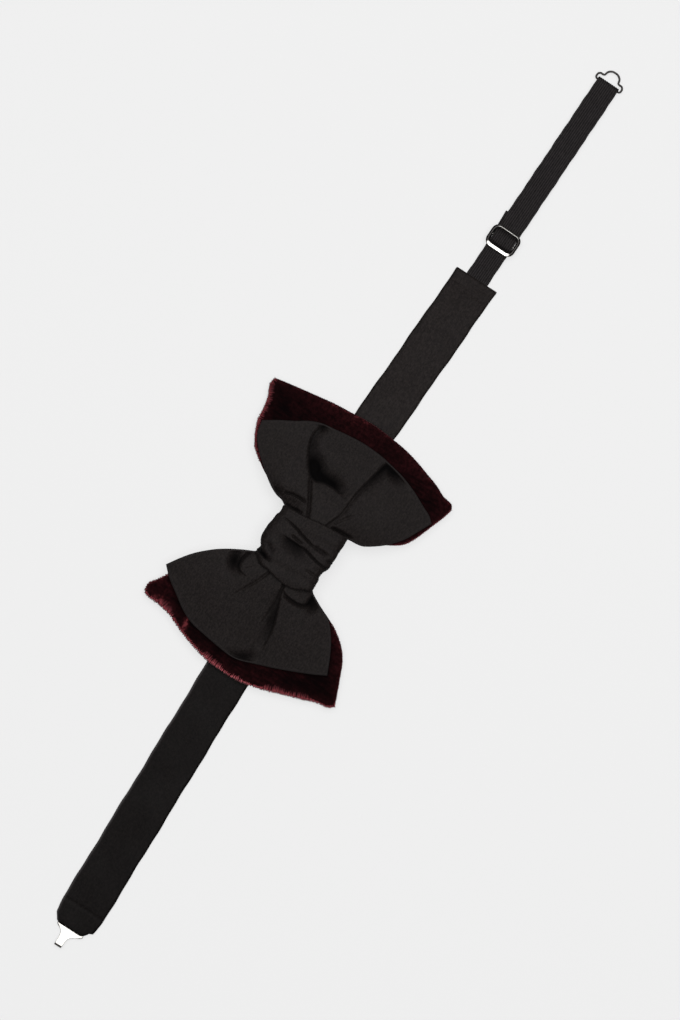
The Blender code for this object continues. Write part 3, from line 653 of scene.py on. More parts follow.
def folds_satin_l(f):
    f.crease([(-15.0, 7.0), (-20, 8.9), (-25, 11.4), (-30, 13.7), (-34, 15.0)], 0.60, 0.55, (0, 0.6))
    f.fold([(-38, -1.3), (-33, -1.4), (-29, -1.5), (-23, -1.4), (-19, -0.9), (-15.0, -0.3)],
           0.05, 0.50, 2.5, 0.9, 0.35, (0.5, 0.0))
    f.crease([(-15.0, -0.8), (-20, -2.0), (-24, -3.5), (-28, -5.2)], 0.8, 0.55, (0, 0.4))
    f.fold([(-15.5, -0.9), (-20, -2.0), (-24, -3.5), (-28, -5.2), (-32, -6.5), (-36, -7.3),
            (-41, -7.7), (-48, -8.6)], 0.25, 2.0, 3.5, 3.4, 0.6, (0.45, 0.6))
    f.crease([(-53.0, 2.2), (-50.8, -1.8), (-48.2, -5.0), (-44.5, -8.4)], 2.0, 2.0, (0, 0.6))
    f.fold([(-9.0, 16.4), (-12.5, 17.6), (-16.0, 18.6), (-18.8, 18.5), (-20.5, 17.1), (-21.0, 15.0),
            (-20.6, 12.8)], 0.60, 1.8, 4.0, 1.0, 0.5, (0, 0.4))
    f.hollow((-18.4, 21.4), (4.3, 2.3), 2.5, 18)
    f.fold([(-17.2, -1.4), (-18.5, -3.8), (-18.9, -7.0), (-18.8, -10.2), (-17.6, -12.6),
            (-14.8, -13.0), (-10.5, -12.6)], 0.55, 1.8, 3.5, 1.2, 0.5, (0.25, 0.0))
    f.hollow((-16.2, -15.2), (3.4, 2.1), 2.1, 25)
    f.hollow((-27, 26), (9, 12), -0.4, 35)
    f.hollow((-33, -20), (8, 9), -0.3, -30)


def folds_satin_r(f):
    f.crease([(12, 5.5), (16, 7.3), (20, 9.6), (24, 11.9), (27.6, 14.0)], 1.05, 0.65, (0, 0.12))
    f.fold([(26.8, -4.0), (27.8, -0.5), (28.4, 4.0), (28.0, 8.2), (26.9, 11.2), (27.6, 13.8),
            (30.4, 16.6), (33.6, 19.0), (37, 20.9), (41, 22.1), (44.5, 22.2), (47.5, 20.8)],
           0.15, 3.0, 2.6, 4.0, 0.7, (0.25, 0.8))
    f.hollow((31.8, 13.8), (5.0, 3.2), 1.9, 40)
    f.fold([(33, 18.9), (36, 20.6), (40, 22.0), (44, 22.3), (48, 20.8)], 0.15, 1.0, 2.5, 2.8, 0.6,
           (0.4, 0.0))
    f.hollow((46.9, 20.6), (1.5, 1.6), 1.1)
    f.fold([(13, -1.8), (17, -3.3), (21, -4.7), (26, -5.1), (32, -5.6), (38, -6.8), (43, -7.9),
            (50, -9.2)], 0.25, 0.75, 2.6, 1.3, 0.4, (0, 0.0))
    f.fold([(24, -5.1), (32, -5.6), (38, -6.8), (43, -7.9), (47.4, -8.9), (48.6, -10.8),
            (47.9, -14.2), (46.3, -18.6), (44.6, -22.5)], 0.10, 2.2, 1.2, 3.6, 0.7, (0.75, 0.3))
    f.hollow((46.4, -14.0), (1.7, 4.6), 0.7, -12)
    f.crease([(16.0, -4.4), (19, -6.4), (22, -8.7), (25, -11.5)], 0.45, 0.6, (0.1, 0.5))
    f.fold([(16.9, 8.6), (17.1, 12.0), (16.9, 15.6), (16.0, 18.4)], 0.45, 1.6, 2.0, 0.8, 0.35, (0.3, 0))
    f.crease([(11.9, 17.6), (12.3, 14.0), (12.7, 10.0), (13.0, 7.5)], 1.8, 0.6, (0, 0.4))
    f.hollow((14.7, 22.4), (1.7, 2.5), 1.7)
    f.crease([(14.2, -4.0), (14.8, -8.0), (15.0, -12.0), (14.9, -15.5)], 1.5, 0.65, (0.15, 0.3))
    f.hollow((23, 26), (7, 9), -0.3, -30)
    f.hollow((28, -22), (9, 8), -0.3, 35)


def folds_velvet(f):
    f.z += 0.25 * np.sin(f.y * 0.21 + f.x * 0.05) + 0.18 * np.sin(f.y * 0.47 + 1.3)


LEVEL = {
    "velvet": (low("velvet_waist")[2], high("velvet_waist")[2]),
    "satin": (low("satin_waist")[2], high("satin_waist")[2]),
}


def wing_object(name, wing, cad, layer, rim, puff, folds, skin, counts):
    """Two plies of cloth that meet in a rolled edge, with the folds pressed into the front one.

    Marks on the front ply: painted shade in the folds, a painted highlight along the rim, painted sheen
    where the velvet's pile leans to the light (flank, free edges, one fold, one corner), painted shade
    further in.
    """
    wing.fit(cad)
    x, y, edge, free, u = wing.patch(rim, counts)
    field = Field(x, y)
    folds(field)
    roll = 0.10 * np.exp(-((edge - 0.45) / 0.4) ** 2)
    side = np.clip(np.abs(y / np.where(y > 0, high(cad)[1], low(cad)[1])), 0, 1)
    along = 1 - 0.85 * smooth(0.15, 1.0, u)
    swell = puff * along[:, None] * (1 - side ** 3) * (1 - (1 - np.clip(free / 13.0, 0, 1)) ** 2)
    lower, upper = LEVEL[layer]
    middle = (lower + upper) / 2 - droop(x, y)
    half = np.sqrt(1 - (1 - np.clip(edge / rim, 0, 1)) ** 2) * (upper - lower) / 2
    bottom = middle - half
    top = middle + half + swell + roll + field.z * smooth(0.0, 1.5, edge)
    top = np.maximum(top, bottom + 0.3 * smooth(0, 0.6, edge))
    verts, faces = shell(np.stack([x, y, top], -1), np.stack([x, y, bottom], -1))
    if wing.sign < 0:
        faces = faces[:, ::-1]
    # Darker where the folds press in: painted shade.
    painted_fold_shade = np.clip(-field.z / 2.0 - 0.15, 0, 1) * smooth(0.0, 1.5, edge)
    # Painted sheen where the pile faces the light (flank, free edges, one fold, one corner); painted
    # shade further in from the free edges.
    flank = np.exp(-((x - 53) / 6) ** 2 - ((y - 10) / 24) ** 2)
    fold_sheen = 2.6 * np.exp(-((y - 24.2 - 0.25 * (x + 51)) / 1.0) ** 2 - ((x + 51) / 3.6) ** 2)
    corner_sheen = 1.1 * np.exp(-((x + 48.2) / 1.4) ** 2 - ((y - 38.5) / 4.5) ** 2)
    pile_sheen_and_shade = 0.38 * flank + 0.6 * np.exp(-(free / 1.0) ** 2) + fold_sheen + corner_sheen
    pile_sheen_and_shade = pile_sheen_and_shade - 0.20 * smooth(2.0, 6.0, free)
    # Painted highlight along the rim of the front ply.
    wear_and_edge_highlight = 0.19 * np.exp(-((edge - 0.3) / 0.35) ** 2)
    marks = {"painted_fold_shade": painted_fold_shade, "pile_sheen_and_shade": pile_sheen_and_shade, "wear_and_edge_highlight": wear_and_edge_highlight}
    return mesh_piece(name, verts, faces, skin,
                      floats={key: padded_out(mark, verts) for key, mark in marks.items()})


def pile_fringe(name, wing, runs, skin):
    """Rows of pile standing out of the edge in combed tufts.

    Each run is (line, from, to, hairs per tuft, how far they start inside the edge, how far they
    reach past it, painted brightness at a given y, higher on edges that face the light).
    """
    lower, upper = LEVEL["velvet"]
    verts, faces, along = [], [], []
    for line, first, last, hairs, back, past, bright in runs:
        total = np.linalg.norm(np.diff(line, axis=0), axis=1).sum()
        tufts = int(total * (last - first) / TUFT_PITCH)
        for tuft in np.linspace(first, last, tufts) + RNG.normal(0, 0.12 * TUFT_PITCH / total, tufts):
            comb = RNG.normal(0, 1, 3)
            for _ in range(hairs):
                at = np.clip(tuft + RNG.normal(0, 0.20) * TUFT_PITCH / total, 0, 1) * (len(line) - 1)
                i = min(int(at), len(line) - 2)
                d = line[i + 1] - line[i]
                base = line[i] + d * (at - i)
                d = d / np.linalg.norm(d)
                out = np.array([d[1], -d[0]])
                if out @ (base - np.array([wing.sign * WING_MIDDLE, 0.0])) < 0:
                    out = -out
                reach = past * (1.0 + 0.12 * comb[0]) * RNG.uniform(0.25, 1.05)
                inside = back * (1.0 + 0.12 * comb[2]) * RNG.uniform(0.30, 1.1)
                away = out + d * (0.16 * comb[1] + RNG.normal(0, 0.05))
                z = (lower + upper) / 2 - droop(base[0], base[1])
                start = np.array([*(base - out * inside),
                                  z + RNG.uniform(0.30, 0.50) * (upper - lower)])
                end = np.array([*(base + away * reach),
                                z + RNG.uniform(-0.35, 0.40) * (upper - lower)])
                middle = start * 0.45 + end * 0.55 + np.array([0, 0, 0.22 * (inside + reach) ** 0.5])
                width = RNG.uniform(0.06, 0.11)
                across = np.array([-out[1], out[0], 0.0])
                up = np.array([0.0, 0.0, 1.0])
                n = len(verts)
                for centre, w in ((start, width), (middle, width * 0.9)):
                    verts += [centre + across * w, centre - across * w * 0.5 + up * w * 0.87,
                              centre - across * w * 0.5 - up * w * 0.87]
                verts.append(end)
                # Painted light: each hair's brightness, which the colour ramp turns into shade at the
                # root and highlight at the tip.
                painted_glow = bright(base[1]) * RNG.uniform(0.75, 1.2)
                along += [0.12 * painted_glow] * 3 + [0.60 * painted_glow] * 3 + [painted_glow]
                faces += [(n + 2, n + 1, n)]
                for j in range(3):
                    e = (j + 1) % 3
                    faces += [(n + j, n + e, n + 3 + e, n + 3 + j), (n + 3 + j, n + 3 + e, n + 6)]
    return mesh_piece(name, verts, faces, skin, floats={"along": along})


LIFT_SPREAD = 3.0          # the blend given for a lifting wing reaches this far to each side of its hinge


def wings(satin_skin, velvet_skin, hair_skin):
    """Both velvet wings with their pile, and the satin wings over them."""
    hinge = abs(pivot("hook_velvet_lift")[0])
    for side, sign, satin_wing, velvet_wing, folds in (
            ("hook", -1, SATIN_L, VELVET_L, folds_satin_l),
            ("slider", 1, SATIN_R, VELVET_R, folds_satin_r)):
        inner = (sign * hinge - sign * LIFT_SPREAD, 0, 0)
        outer = (sign * hinge + sign * LIFT_SPREAD, 0, 0)
        velvet_cad, satin_cad = side + "_velvet_wing", side + "_satin_wing"
        made = wing_object(side + "_velvet_bow", velvet_wing, velvet_cad, "velvet", 1.3, 0.0,
                           folds_velvet, velvet_skin, (110, 170))
        piece_done(made, "burgundy_velvet", blend=("bow", side + "_velvet", inner, outer),
                   nodes=(velvet_cad, side + "_velvet_lining"))
        # Brightness per run is painted light: the hook wing's outer edge and the slider wing's top edge
        # lit, the others dimmer.
        if sign < 0:
            runs = [(velvet_wing.outer, 0.0, 1.0, 78, 2.4, 0.60,
                     lambda y: 0.74 + 0.24 * math.exp(-((y + 2) / 15) ** 2)),
                    (velvet_wing.top, 0.74, 1.0, 24, 1.0, 0.45, lambda y: 0.50),
                    (velvet_wing.lower, 0.35, 1.0, 11, 0.4, 0.30, lambda y: 0.40)]
        else:
            runs = [(velvet_wing.top, 0.40, 1.0, 52, 2.0, 0.45,
                     lambda y: 0.76 - 0.03 * abs(y - 44)),
                    (velvet_wing.outer, 0.0, 1.0, 8, 0.3, 0.22, lambda y: 0.25),
                    (velvet_wing.lower, 0.40, 1.0, 18, 0.8, 0.30, lambda y: 0.60)]
        fringe = pile_fringe(side + "_velvet_pile", velvet_wing, runs, hair_skin)
        piece_done(fringe, "burgundy_velvet", blend=("bow", side + "_velvet", inner, outer))
        made = wing_object(side + "_satin_bow", satin_wing, satin_cad, "satin", 0.8, 2.2, folds,
                           satin_skin, (150, 200))
        piece_done(made, "black_satin", blend=(side + "_velvet", side + "_satin", inner, outer),
                   nodes=(satin_cad, side + "_satin_lining"))


# ---------------------------------------------------------------- knot
KNOT_TOP_LINE = [(-14.0, 12.4), (-12.4, 14.2), (-10.4, 16.2), (-8.6, 16.2), (-7.2, 16.1),
                 (-5.4, 17.1), (-3.4, 17.7), (-1.0, 18.0), (4.0, 17.6), (7.0, 17.2), (8.2, 16.7),
                 (10.0, 16.8), (11.8, 17.1)]
KNOT_LOW_LINE = [(-13.0, -10.8), (-11.6, -12.0), (-8.0, -12.1), (-4.4, -11.6), (-2.4, -12.0),
                 (-1.0, -12.8), (2.0, -13.0), (8.0, -12.9), (13.9, -13.0)]
KNOT_LEFT_LINE = [(-13.0, -11.0), (-14.3, -7.5), (-15.2, -4.0), (-15.5, 0.0), (-15.2, 5.0),
                  (-14.7, 9.0), (-14.0, 12.4)]
KNOT_RIGHT_LINE = [(13.9, -13.2), (14.3, -9.0), (14.1, -5.5), (13.9, -2.0), (13.7, 1.0),
                   (12.9, 4.5), (12.4, 8.0), (12.2, 12.0), (11.8, 17.1)]


def knot_folds(f):
    f.fold([(-11.0, 8.0), (-10.8, 11.0), (-10.2, 14.0), (-9.5, 18.5)],
           0.1, 2.2, 1.5, 1.8, 0.3, (0.5, 0))
    f.crease([(-4.4, 16.0), (-5.6, 12.8), (-7.2, 10.2), (-8.0, 7.4)], 0.5, 1.2, (0.3, 0.5))
    f.fold([(1.2, 11.0), (1.4, 8.5), (1.4, 5.5), (1.3, 2.5), (0.9, 0.0), (0.3, -3.0)],
           0.15, 1.5, 1.0, 2.2, 0.35, (0.3, 0.45))
    f.crease([(1.5, 3.0), (1.0, -0.6), (0.3, -3.4), (-0.4, -6.4), (-0.8, -9.2), (-0.9, -15.0)],
             1.2, 0.42, (0.25, 0.0))
    f.crease([(3.5, 8.0), (2.9, 5.4), (2.5, 3.0), (1.9, 0.8)], 0.9, 0.5, (0.3, 0.4))
    f.crease([(7.7, 16.5), (7.1, 11.0), (6.4, 7.0), (5.4, 3.8), (4.8, 1.2), (4.1, -1.8), (3.9, -5.0)],
             1.1, 0.40, (0.45, 0.2))
    f.crease([(4.3, -2.0), (4.0, -6.0), (3.9, -9.0), (3.7, -11.5)], 0.9, 0.9, (0.3, 0.4))
    f.crease([(2.3, -9.8), (2.0, -15.0)], 0.8, 0.5, (0.5, 0.0))
    f.crease([(-5.3, -3.6), (-5.6, -7.0), (-5.4, -12.6)], 0.5, 0.5, (0.4, 0.0))
    f.crease([(9.6, 9.0), (9.9, 3.0), (9.5, -3.0)], 0.18, 0.9, (0.4, 0.4))
    f.hollow((-1.9, 3.0), (1.9, 6.5), 0.85)
    f.z -= 0.10 * (1 + np.sin(1.15 * f.x + 0.12 * f.y + 0.6))


def knot(skin):
    """The satin wrapped round the middle: an open barrel with folded edges and pleats.

    Its section is a box with rounded corners, its points an equal distance apart; cos and sin
    say how far front and how far up each of them is.
    """
    lo, hi = low("knot_wrap"), high("knot_wrap")
    turns, across, kept, wall, half_x = 380, 130, 34, 1.0, 15.0
    left = np.array(KNOT_LEFT_LINE)
    right = np.array(KNOT_RIGHT_LINE)
    top = spline(KNOT_TOP_LINE, 120)
    bottom = spline(KNOT_LOW_LINE, 120)
    middle_z, half_z = (lo[2] + hi[2]) / 2, (hi[2] - lo[2]) / 2
    box = oval(2.0, 2.0, 6.0, 2400) * (half_x, half_z)
    box = resampled(np.vstack([box, box[:1]]), 0.01)
    box = box[np.linspace(0, len(box), turns, endpoint=False).astype(int)]
    cos, sin = box[:, 0] / half_x, box[:, 1] / half_z
    rings = []
    y_guess = 2.5 + 15.5 * cos
    x0 = np.interp(y_guess, left[:, 1], left[:, 0])
    x1 = np.interp(y_guess, right[:, 1], right[:, 0])
    for s in np.linspace(0, 1, across):
        x = x0 + (x1 - x0) * s
        hi_y = np.interp(x, top[:, 0], top[:, 1])
        lo_y = np.interp(x, bottom[:, 0], bottom[:, 1])
        y = (hi_y + lo_y) / 2 + (hi_y - lo_y) / 2 * cos
        rings.append(np.stack([x, y, middle_z + half_z * sin], -1))
    outer = np.array(rings)
    x, y = outer[..., 0], outer[..., 1]
    f = Field(x, y)
    knot_folds(f)
    front = smooth(-0.15, 0.45, sin)[None, :]
    under = 0.35 * np.sin(x * 1.1 + 0.8) * (1 - front)
    edge = np.minimum(x - x0[None], x1[None] - x)
    shoulder = np.clip(edge / 1.1, 0, 1)
    drop = -0.9 * (1 - np.sqrt(1 - (1 - shoulder) ** 2))
    height = (f.z * front - np.abs(under)) * smooth(0.0, 1.1, edge) + drop
    height = np.minimum(height, 0.0)
    normal = np.stack([np.zeros_like(x), np.broadcast_to(cos ** 5, x.shape),
                       np.broadcast_to(sin, x.shape)], -1)
    normal /= np.linalg.norm(normal, axis=-1, keepdims=True)
    outer = outer + normal * height[..., None]
    keep = np.linspace(0, across - 1, kept).astype(int)
    inner = outer[keep][::-1] - normal[keep][::-1] * wall
    inner[:, :, 0] = np.clip(inner[:, :, 0], x0 + 0.5, x1 - 0.5)
    verts, faces, _ = loft(np.concatenate([outer, inner]), closed_along=True)
    # Darker where the pleats press in: painted shade.
    painted_fold_shade = np.clip(-f.z * front / 1.6 - 0.15, 0, 1)
    made = mesh_piece("knot_satin", verts, faces, skin, floats={"painted_fold_shade": padded_out(painted_fold_shade, verts)})
    piece_done(made, "black_satin", body="bow", nodes=("knot_wrap",))


GATHERS_HALF = 9.4         # stops short of where the lifted wings dip


def gathers(name, skin, cad, slot, count, phase):
    """The middle of a bow inside the knot, drawn into lengthwise pleats by the thread."""
    lo, hi = low(cad), high(cad)
    angle = np.linspace(0, 2 * math.pi, 220, endpoint=False)
    rings = []
    for s in np.linspace(0, 1, 40):
        x = GATHERS_HALF * (2 * s - 1)
        flare = abs(2 * s - 1) ** 2
        depth = 0.35 + 0.35 * flare
        ripple = depth * np.sin(count * angle + phase)
        half_y = (hi[1] - lo[1]) / 2 - 0.8 + 0.8 * flare
        half_z = (hi[2] - lo[2]) / 2 - 0.3
        y = (lo[1] + hi[1]) / 2 + (half_y + ripple) * np.cos(angle)
        lift = half_z * np.sin(angle) * (1 + 0.5 * ripple * np.abs(np.sin(angle)))
        z = (lo[2] + hi[2]) / 2 + lift
        rings.append(np.stack([np.full_like(y, x), y, z], -1))
    verts, faces, flat = loft(np.array(rings))
    made = mesh_piece(name, verts, faces, skin, flat)
    piece_done(made, slot, body="bow", nodes=(cad,))


PAD_INSET = np.array([1.5, 1.5, 0.0])     # smaller than the CAD pad all round
PAD_CLEAR = np.array([0.0, 0.0, 1.0])     # and lower, so the knot's folds clear it
PAD_POINTS, PAD_RIM = 60, 1.5


def pad(skin):
    """The small pad that rounds the front of the knot."""
    lo, hi = low("knot_pad") + PAD_INSET, high("knot_pad") - PAD_INSET - PAD_CLEAR
    u = spaced(PAD_POINTS, hi[0] - lo[0], PAD_RIM)
    v = spaced(PAD_POINTS, hi[1] - lo[1], PAD_RIM)
    x = (lo[0] + (hi[0] - lo[0]) * u)[:, None] * np.ones(len(v))
    y = (lo[1] + (hi[1] - lo[1]) * v)[None] * np.ones((len(u), 1))
    edge = np.minimum(np.minimum(x - lo[0], hi[0] - x), np.minimum(y - lo[1], hi[1] - y))
    half = (hi[2] - lo[2]) / 2 * np.sqrt(1 - (1 - np.clip(edge / 2.2, 0, 1)) ** 2)
    middle = (lo[2] + hi[2]) / 2
    verts, faces = shell(np.stack([x, y, middle + half], -1), np.stack([x, y, middle - half], -1))
    made = mesh_piece("knot_padding", verts, faces, skin)
    piece_done(made, "interlining", body="bow", nodes=("knot_pad",))


# ---------------------------------------------------------------- neckband
CENTRE_LINE = [(-176.9, -4.3), (-58.0, -1.3), (-17.4, 0.24), (17.4, 1.56), (58.0, 3.1),
               (132.0, 0.55)]
BAND_CUTS = {"hook": (-37.7, -79.0, -121.0), "slider": (37.7, 76.5)}


def band_y(x):
    line = np.array(CENTRE_LINE)
    return np.interp(x, line[:, 0], line[:, 1])


def band_bottom(x):
    """The band rises towards the knot, which it passes through."""
    knot_end = abs(pivot("hook_band_bend_1")[0])
    flat_from = abs(pivot("hook_band_bend_2")[0])
    lift = low("neckband_centre")[2]
    t = smooth(knot_end, flat_from, np.abs(x))
    return lift * (1 - t)


BAND_RING = 64
BAND_FOLD_POINTS = 8       # of them, round each folded edge


def band_section(width, thick):
    """One closed cross-section: two flat plies meeting in rounded folds."""
    half = width / 2
    edge = thick * 0.5
    t = np.linspace(0, 1, BAND_RING // 2 - BAND_FOLD_POINTS)
    flat_y = (-half + edge + (width - 2 * edge) * (0.5 - 0.5 * np.cos(np.pi * t)) * 0.5
              + (width - 2 * edge) * t * 0.5)
    arc = np.linspace(-math.pi / 2, math.pi / 2, BAND_FOLD_POINTS + 2)[1:-1]
    y = np.concatenate([flat_y, half - edge + edge * np.cos(arc), flat_y[::-1],
                        -half + edge - edge * np.cos(arc)])
    z = np.concatenate([np.full(len(t), -thick / 2), edge * np.sin(arc),
                        np.full(len(t), thick / 2), -edge * np.sin(arc)])
    return y, z


BAND_SLANT = 1.24          # what its slant adds to the centre stretch's box
HOOK_TIP, SLIDER_TIP = 5.0, 0.2           # visual ends: past the hook's side, short of the slider's
TIP_REACH = 1.05           # the end closes over this length
TIP_STEPS = (TIP_REACH, 0.8, 0.5, 0.25, 0.08, 0.0)
STATION = 0.7
KNOT_CUT = 12.0            # |x| of the cut between the middle and the side stretches


def band_ends():
    return low("hook_side_band_4")[0] - HOOK_TIP, high("slider_side_band_3")[0] - SLIDER_TIP


def band_edges(x):
    """Lower and upper edge of the band; the hook end is cut to a taper."""
    half = (high("neckband_centre")[1] - low("neckband_centre")[1] - BAND_SLANT) / 2
    middle = float(band_y(x))
    fold = low("hook_side_band_4")[0]
    upper = np.interp(x, [fold - 4.9, fold - 4.2, fold - 1.4, fold + 4.5, fold + 30],
                      [middle + 6.2, middle + 7.2, middle + half - 0.6, middle + half,
                       middle + half])
    lower = np.interp(x, [fold - 5.0, fold - 4.4, fold - 3.0, fold - 1.9, fold - 1.5, fold + 4.5,
                          fold + 30],
                      [middle - 5.0, middle - 5.9, middle - 7.1, middle - 7.6, middle - half + 0.7,
                       middle - half, middle - half])
    return lower, upper


def band_piece(name, x_from, x_to, skin, **rig):
    """A stretch of the neckband, softly rippled, with a hem where the band ends."""
    thick = high("hook_side_band_2")[2] - low("hook_side_band_2")[2]
    hook_end, slider_end = band_ends()
    stations = np.linspace(x_from, x_to, int(abs(x_to - x_from) / STATION) + 2)
    at_tip = x_to in (hook_end, slider_end)
    if at_tip:
        outward = math.copysign(1.0, x_to - x_from)
        stations = np.concatenate([stations[:-3], x_to - outward * np.array(TIP_STEPS)])
    rings = []
    for x in stations:
        lower, upper = band_edges(x)
        width = upper - lower
        y, z = band_section(width, thick)
        top = z > 0
        share = np.clip(2 * y / width, -1, 1)
        crown = 0.10 * np.cos(share * math.pi / 2)
        ripple = 0.10 * np.sin(0.13 * x + 0.10 * y) + 0.06 * np.sin(0.31 * x - 0.22 * y + 2.0)
        hem = (math.exp(-((x - (slider_end - 6.6)) / 0.8) ** 2)
               + 0.7 * math.exp(-((x - (hook_end + 10.4)) / 0.6) ** 2))
        dimple = math.exp(-((x - (slider_end - 4.6)) / 1.6) ** 2) * np.exp(-((y + 5.5) / 4.0) ** 2)
        z = z + np.where(top, crown + ripple * (1 - share ** 6) - 0.35 * hem - 0.45 * dimple, 0)
        swell = 0.12 * math.sin(0.19 * x + 1.0) + 0.07 * math.sin(0.53 * x)
        y = y + np.sign(y) * swell * (np.abs(share) > 0.8)
        if at_tip:
            closing = math.sqrt(1 - (1 - min(abs(x_to - x) / TIP_REACH, 1.0)) ** 2)
            z = z * (0.12 + 0.88 * closing)
            y = y * (1 - 0.035 * (1 - closing))
        rings.append(np.stack([np.full_like(y, x), y + (lower + upper) / 2,
                               z + thick / 2 + band_bottom(x)], -1))
    rings = np.array(rings)
    verts, faces, flat = loft(rings)
    # Painted highlight along the hook side's upper edge, where it would catch the light.
    wear_and_edge_highlight = np.exp(-((rings[..., 1].max(axis=1)[:, None] - rings[..., 1] - 0.25) / 0.45) ** 2)
    wear_and_edge_highlight *= 0.9 * smooth(30.0, -60.0, rings[..., 0])
    made = mesh_piece(name, verts, faces, skin, flat, floats={"wear_and_edge_highlight": wear_and_edge_highlight.reshape(-1)})
    piece_done(made, "black_satin", **rig)


def neckband(skins):
    """The stretch in the knot, and each side's stretches, cut at the hinges and given a blend over each.
    """
    def at(x):
        return (x, band_y(x), 1.0)

    band_piece("neckband_middle", -KNOT_CUT, KNOT_CUT, skins["hook"], body="bow",
               nodes=("neckband_centre", "neckband_centre_lining"))
    for side, sign, end in zip(("hook", "slider"), (-1, 1), band_ends()):
        cuts = [sign * KNOT_CUT, *BAND_CUTS[side], end]
        for k, (a, b) in enumerate(zip(cuts[:-1], cuts[1:]), 1):
            hinge = pivot(f"{side}_band_bend_{k}")[0]
            before = "bow" if k == 1 else f"{side}_band_{k - 1}"
            spread = 5.0 if k == 1 else 9.0
            nodes = [f"{side}_side_band_{k}", f"{side}_side_lining_{k}"]
            if side == "hook" and k == 4:
                nodes.append("hook_end_fold")
            band_piece(f"{side}_neckband_{k}", a, b, skins[side], nodes=nodes,
                       blend=(before, f"{side}_band_{k}", at(hinge - sign * spread),
                              at(hinge + sign * spread)))


# ---------------------------------------------------------------- elastic
ELASTIC_START = np.array([132.0, 0.55])
SLIDE_AXIS = np.array(JOINTS["slider_slide"]["axis"][:2])
ACROSS = np.array([-SLIDE_AXIS[1], SLIDE_AXIS[0]])
ELASTIC_WIDTH, ELASTIC = 10.0, 0.7
BAR_AT, EYE_AT = 19.1, 95.9               # the slide's cross bar and the eye, along the elastic
RIBS = 11


def on_elastic(along, across):
    """Row-frame x and y of a place along and across the elastic."""
    along, across = np.asarray(along, float), np.asarray(across, float)
    return (ELASTIC_START[0] + along * SLIDE_AXIS[0] + across * ACROSS[0],
            ELASTIC_START[1] + along * SLIDE_AXIS[1] + across * ACROSS[1])


def rounded(points, passes=3):
    """Cuts the corners of a polyline, keeping its ends."""
    p = np.asarray(points, float)
    for _ in range(passes):
        q = 0.75 * p[:-1] + 0.25 * p[1:]
        r = 0.25 * p[:-1] + 0.75 * p[1:]
        mid = np.empty((2 * len(q), p.shape[1]))
        mid[0::2], mid[1::2] = q, r
        p = np.vstack([p[:1], mid[1:-1], p[-1:]])
    return p


def webbing(name, path, skin, step, astray=0.0, **rig):
    """Ribbed elastic along a path of (distance along, height); its last end may lie askew."""
    line = resampled(rounded(path), step)
    heading = np.gradient(line, axis=0)
    heading /= np.linalg.norm(heading, axis=1, keepdims=True)
    up = np.stack([-heading[:, 1], heading[:, 0]], -1)
    t = np.linspace(0, 1, RIBS * 6 + 1)
    rib = np.abs(np.sin(np.pi * RIBS * t)) ** 0.7
    y = (t - 0.5) * ELASTIC_WIDTH
    selvedge = np.clip(np.sin(np.pi * np.clip(t, 0.006, 0.994)) * 14, 0.3, 1)
    h = ELASTIC / 2 * (0.40 + 0.60 * rib) * selvedge
    ring_y = np.concatenate([y, y[::-1]])
    ring_h = np.concatenate([-h, h[::-1]])
    rings = []
    for k, (at, height) in enumerate(line):
        wave = 0.06 * math.sin(at * 0.9) + 0.05 * math.sin(at * 0.37 + 2)
        askew = astray * float(smooth(14.0, 3.0, (len(line) - 1 - k) * step))
        x, yy = on_elastic(at + ring_h * up[k, 0],
                           ring_y + askew + wave * np.sign(ring_y) * (np.abs(ring_y) > 4.4))
        rings.append(np.stack([x, yy, height + ring_h * up[k, 1]], -1))
    verts, faces, flat = loft(np.array(rings))
    # Painted shade mask for the grooves between the ribs.
    painted_groove_shade = np.tile(np.concatenate([1 - rib, (1 - rib)[::-1]]), len(rings))
    made = mesh_piece(name, verts, faces, skin, flat, floats={"painted_groove_shade": painted_groove_shade})
    piece_done(made, "black_elastic", **rig)
    return made


def elastic(skin):
    """The strip from the band over the slide, and the loop from there round the eye and back."""
    slide_end, tab_end = 24.1, 30.3
    run_low, run_top, run_over = 0.35, 2.35, 4.75
    wrap_top, tab, turn, near, far = 3.75, 1.35, 0.65, 16.6, 21.6
    fixed = [(-8.0, 1.05), (3.5, 1.05), (12.6, run_top), (near - turn, run_top),
             (near, run_top + turn), (near, run_over - turn), (near + turn, run_over),
             (far - turn, run_over), (far, run_over - turn), (far, run_top + turn),
             (far + turn, run_top), (slide_end - 0.75, run_top)]

    def at(x):
        px, py = on_elastic(x, 0)
        return (float(px), float(py), 1.0)

    made = webbing("elastic_band_end", fixed, skin, step=0.35,
                   blend=("slider_band_3", "slider", at(1.0), at(12.0)), nodes=("elastic_fixed_run",))
    level = (run_low + run_top) / 2
    half = (run_top - run_low) / 2
    bend = [(EYE_AT + half * math.cos(a), level + half * math.sin(a))
            for a in np.radians(np.arange(75, -76, -15))]
    left, right = BAR_AT - 1.15, BAR_AT + 1.15
    loop = [(slide_end - 0.2, run_top), (EYE_AT - 4.0, run_top), (EYE_AT, run_top), *bend,
            (EYE_AT, run_low), (EYE_AT - 4.0, run_low), (left + turn, run_low), (left, run_low + turn),
            (left, wrap_top - turn), (left + turn, wrap_top), (right - turn, wrap_top),
            (right, wrap_top - turn), (right, tab + turn), (right + turn, tab), (tab_end, tab)]
    made = webbing("elastic_loop", loop, skin, step=0.5, astray=0.8,
                   blend=("slider", "eye_carrier", at(32.0), at(88.0)),
                   nodes=("elastic_upper_run", "elastic_eye_bend", "elastic_lower_run"))


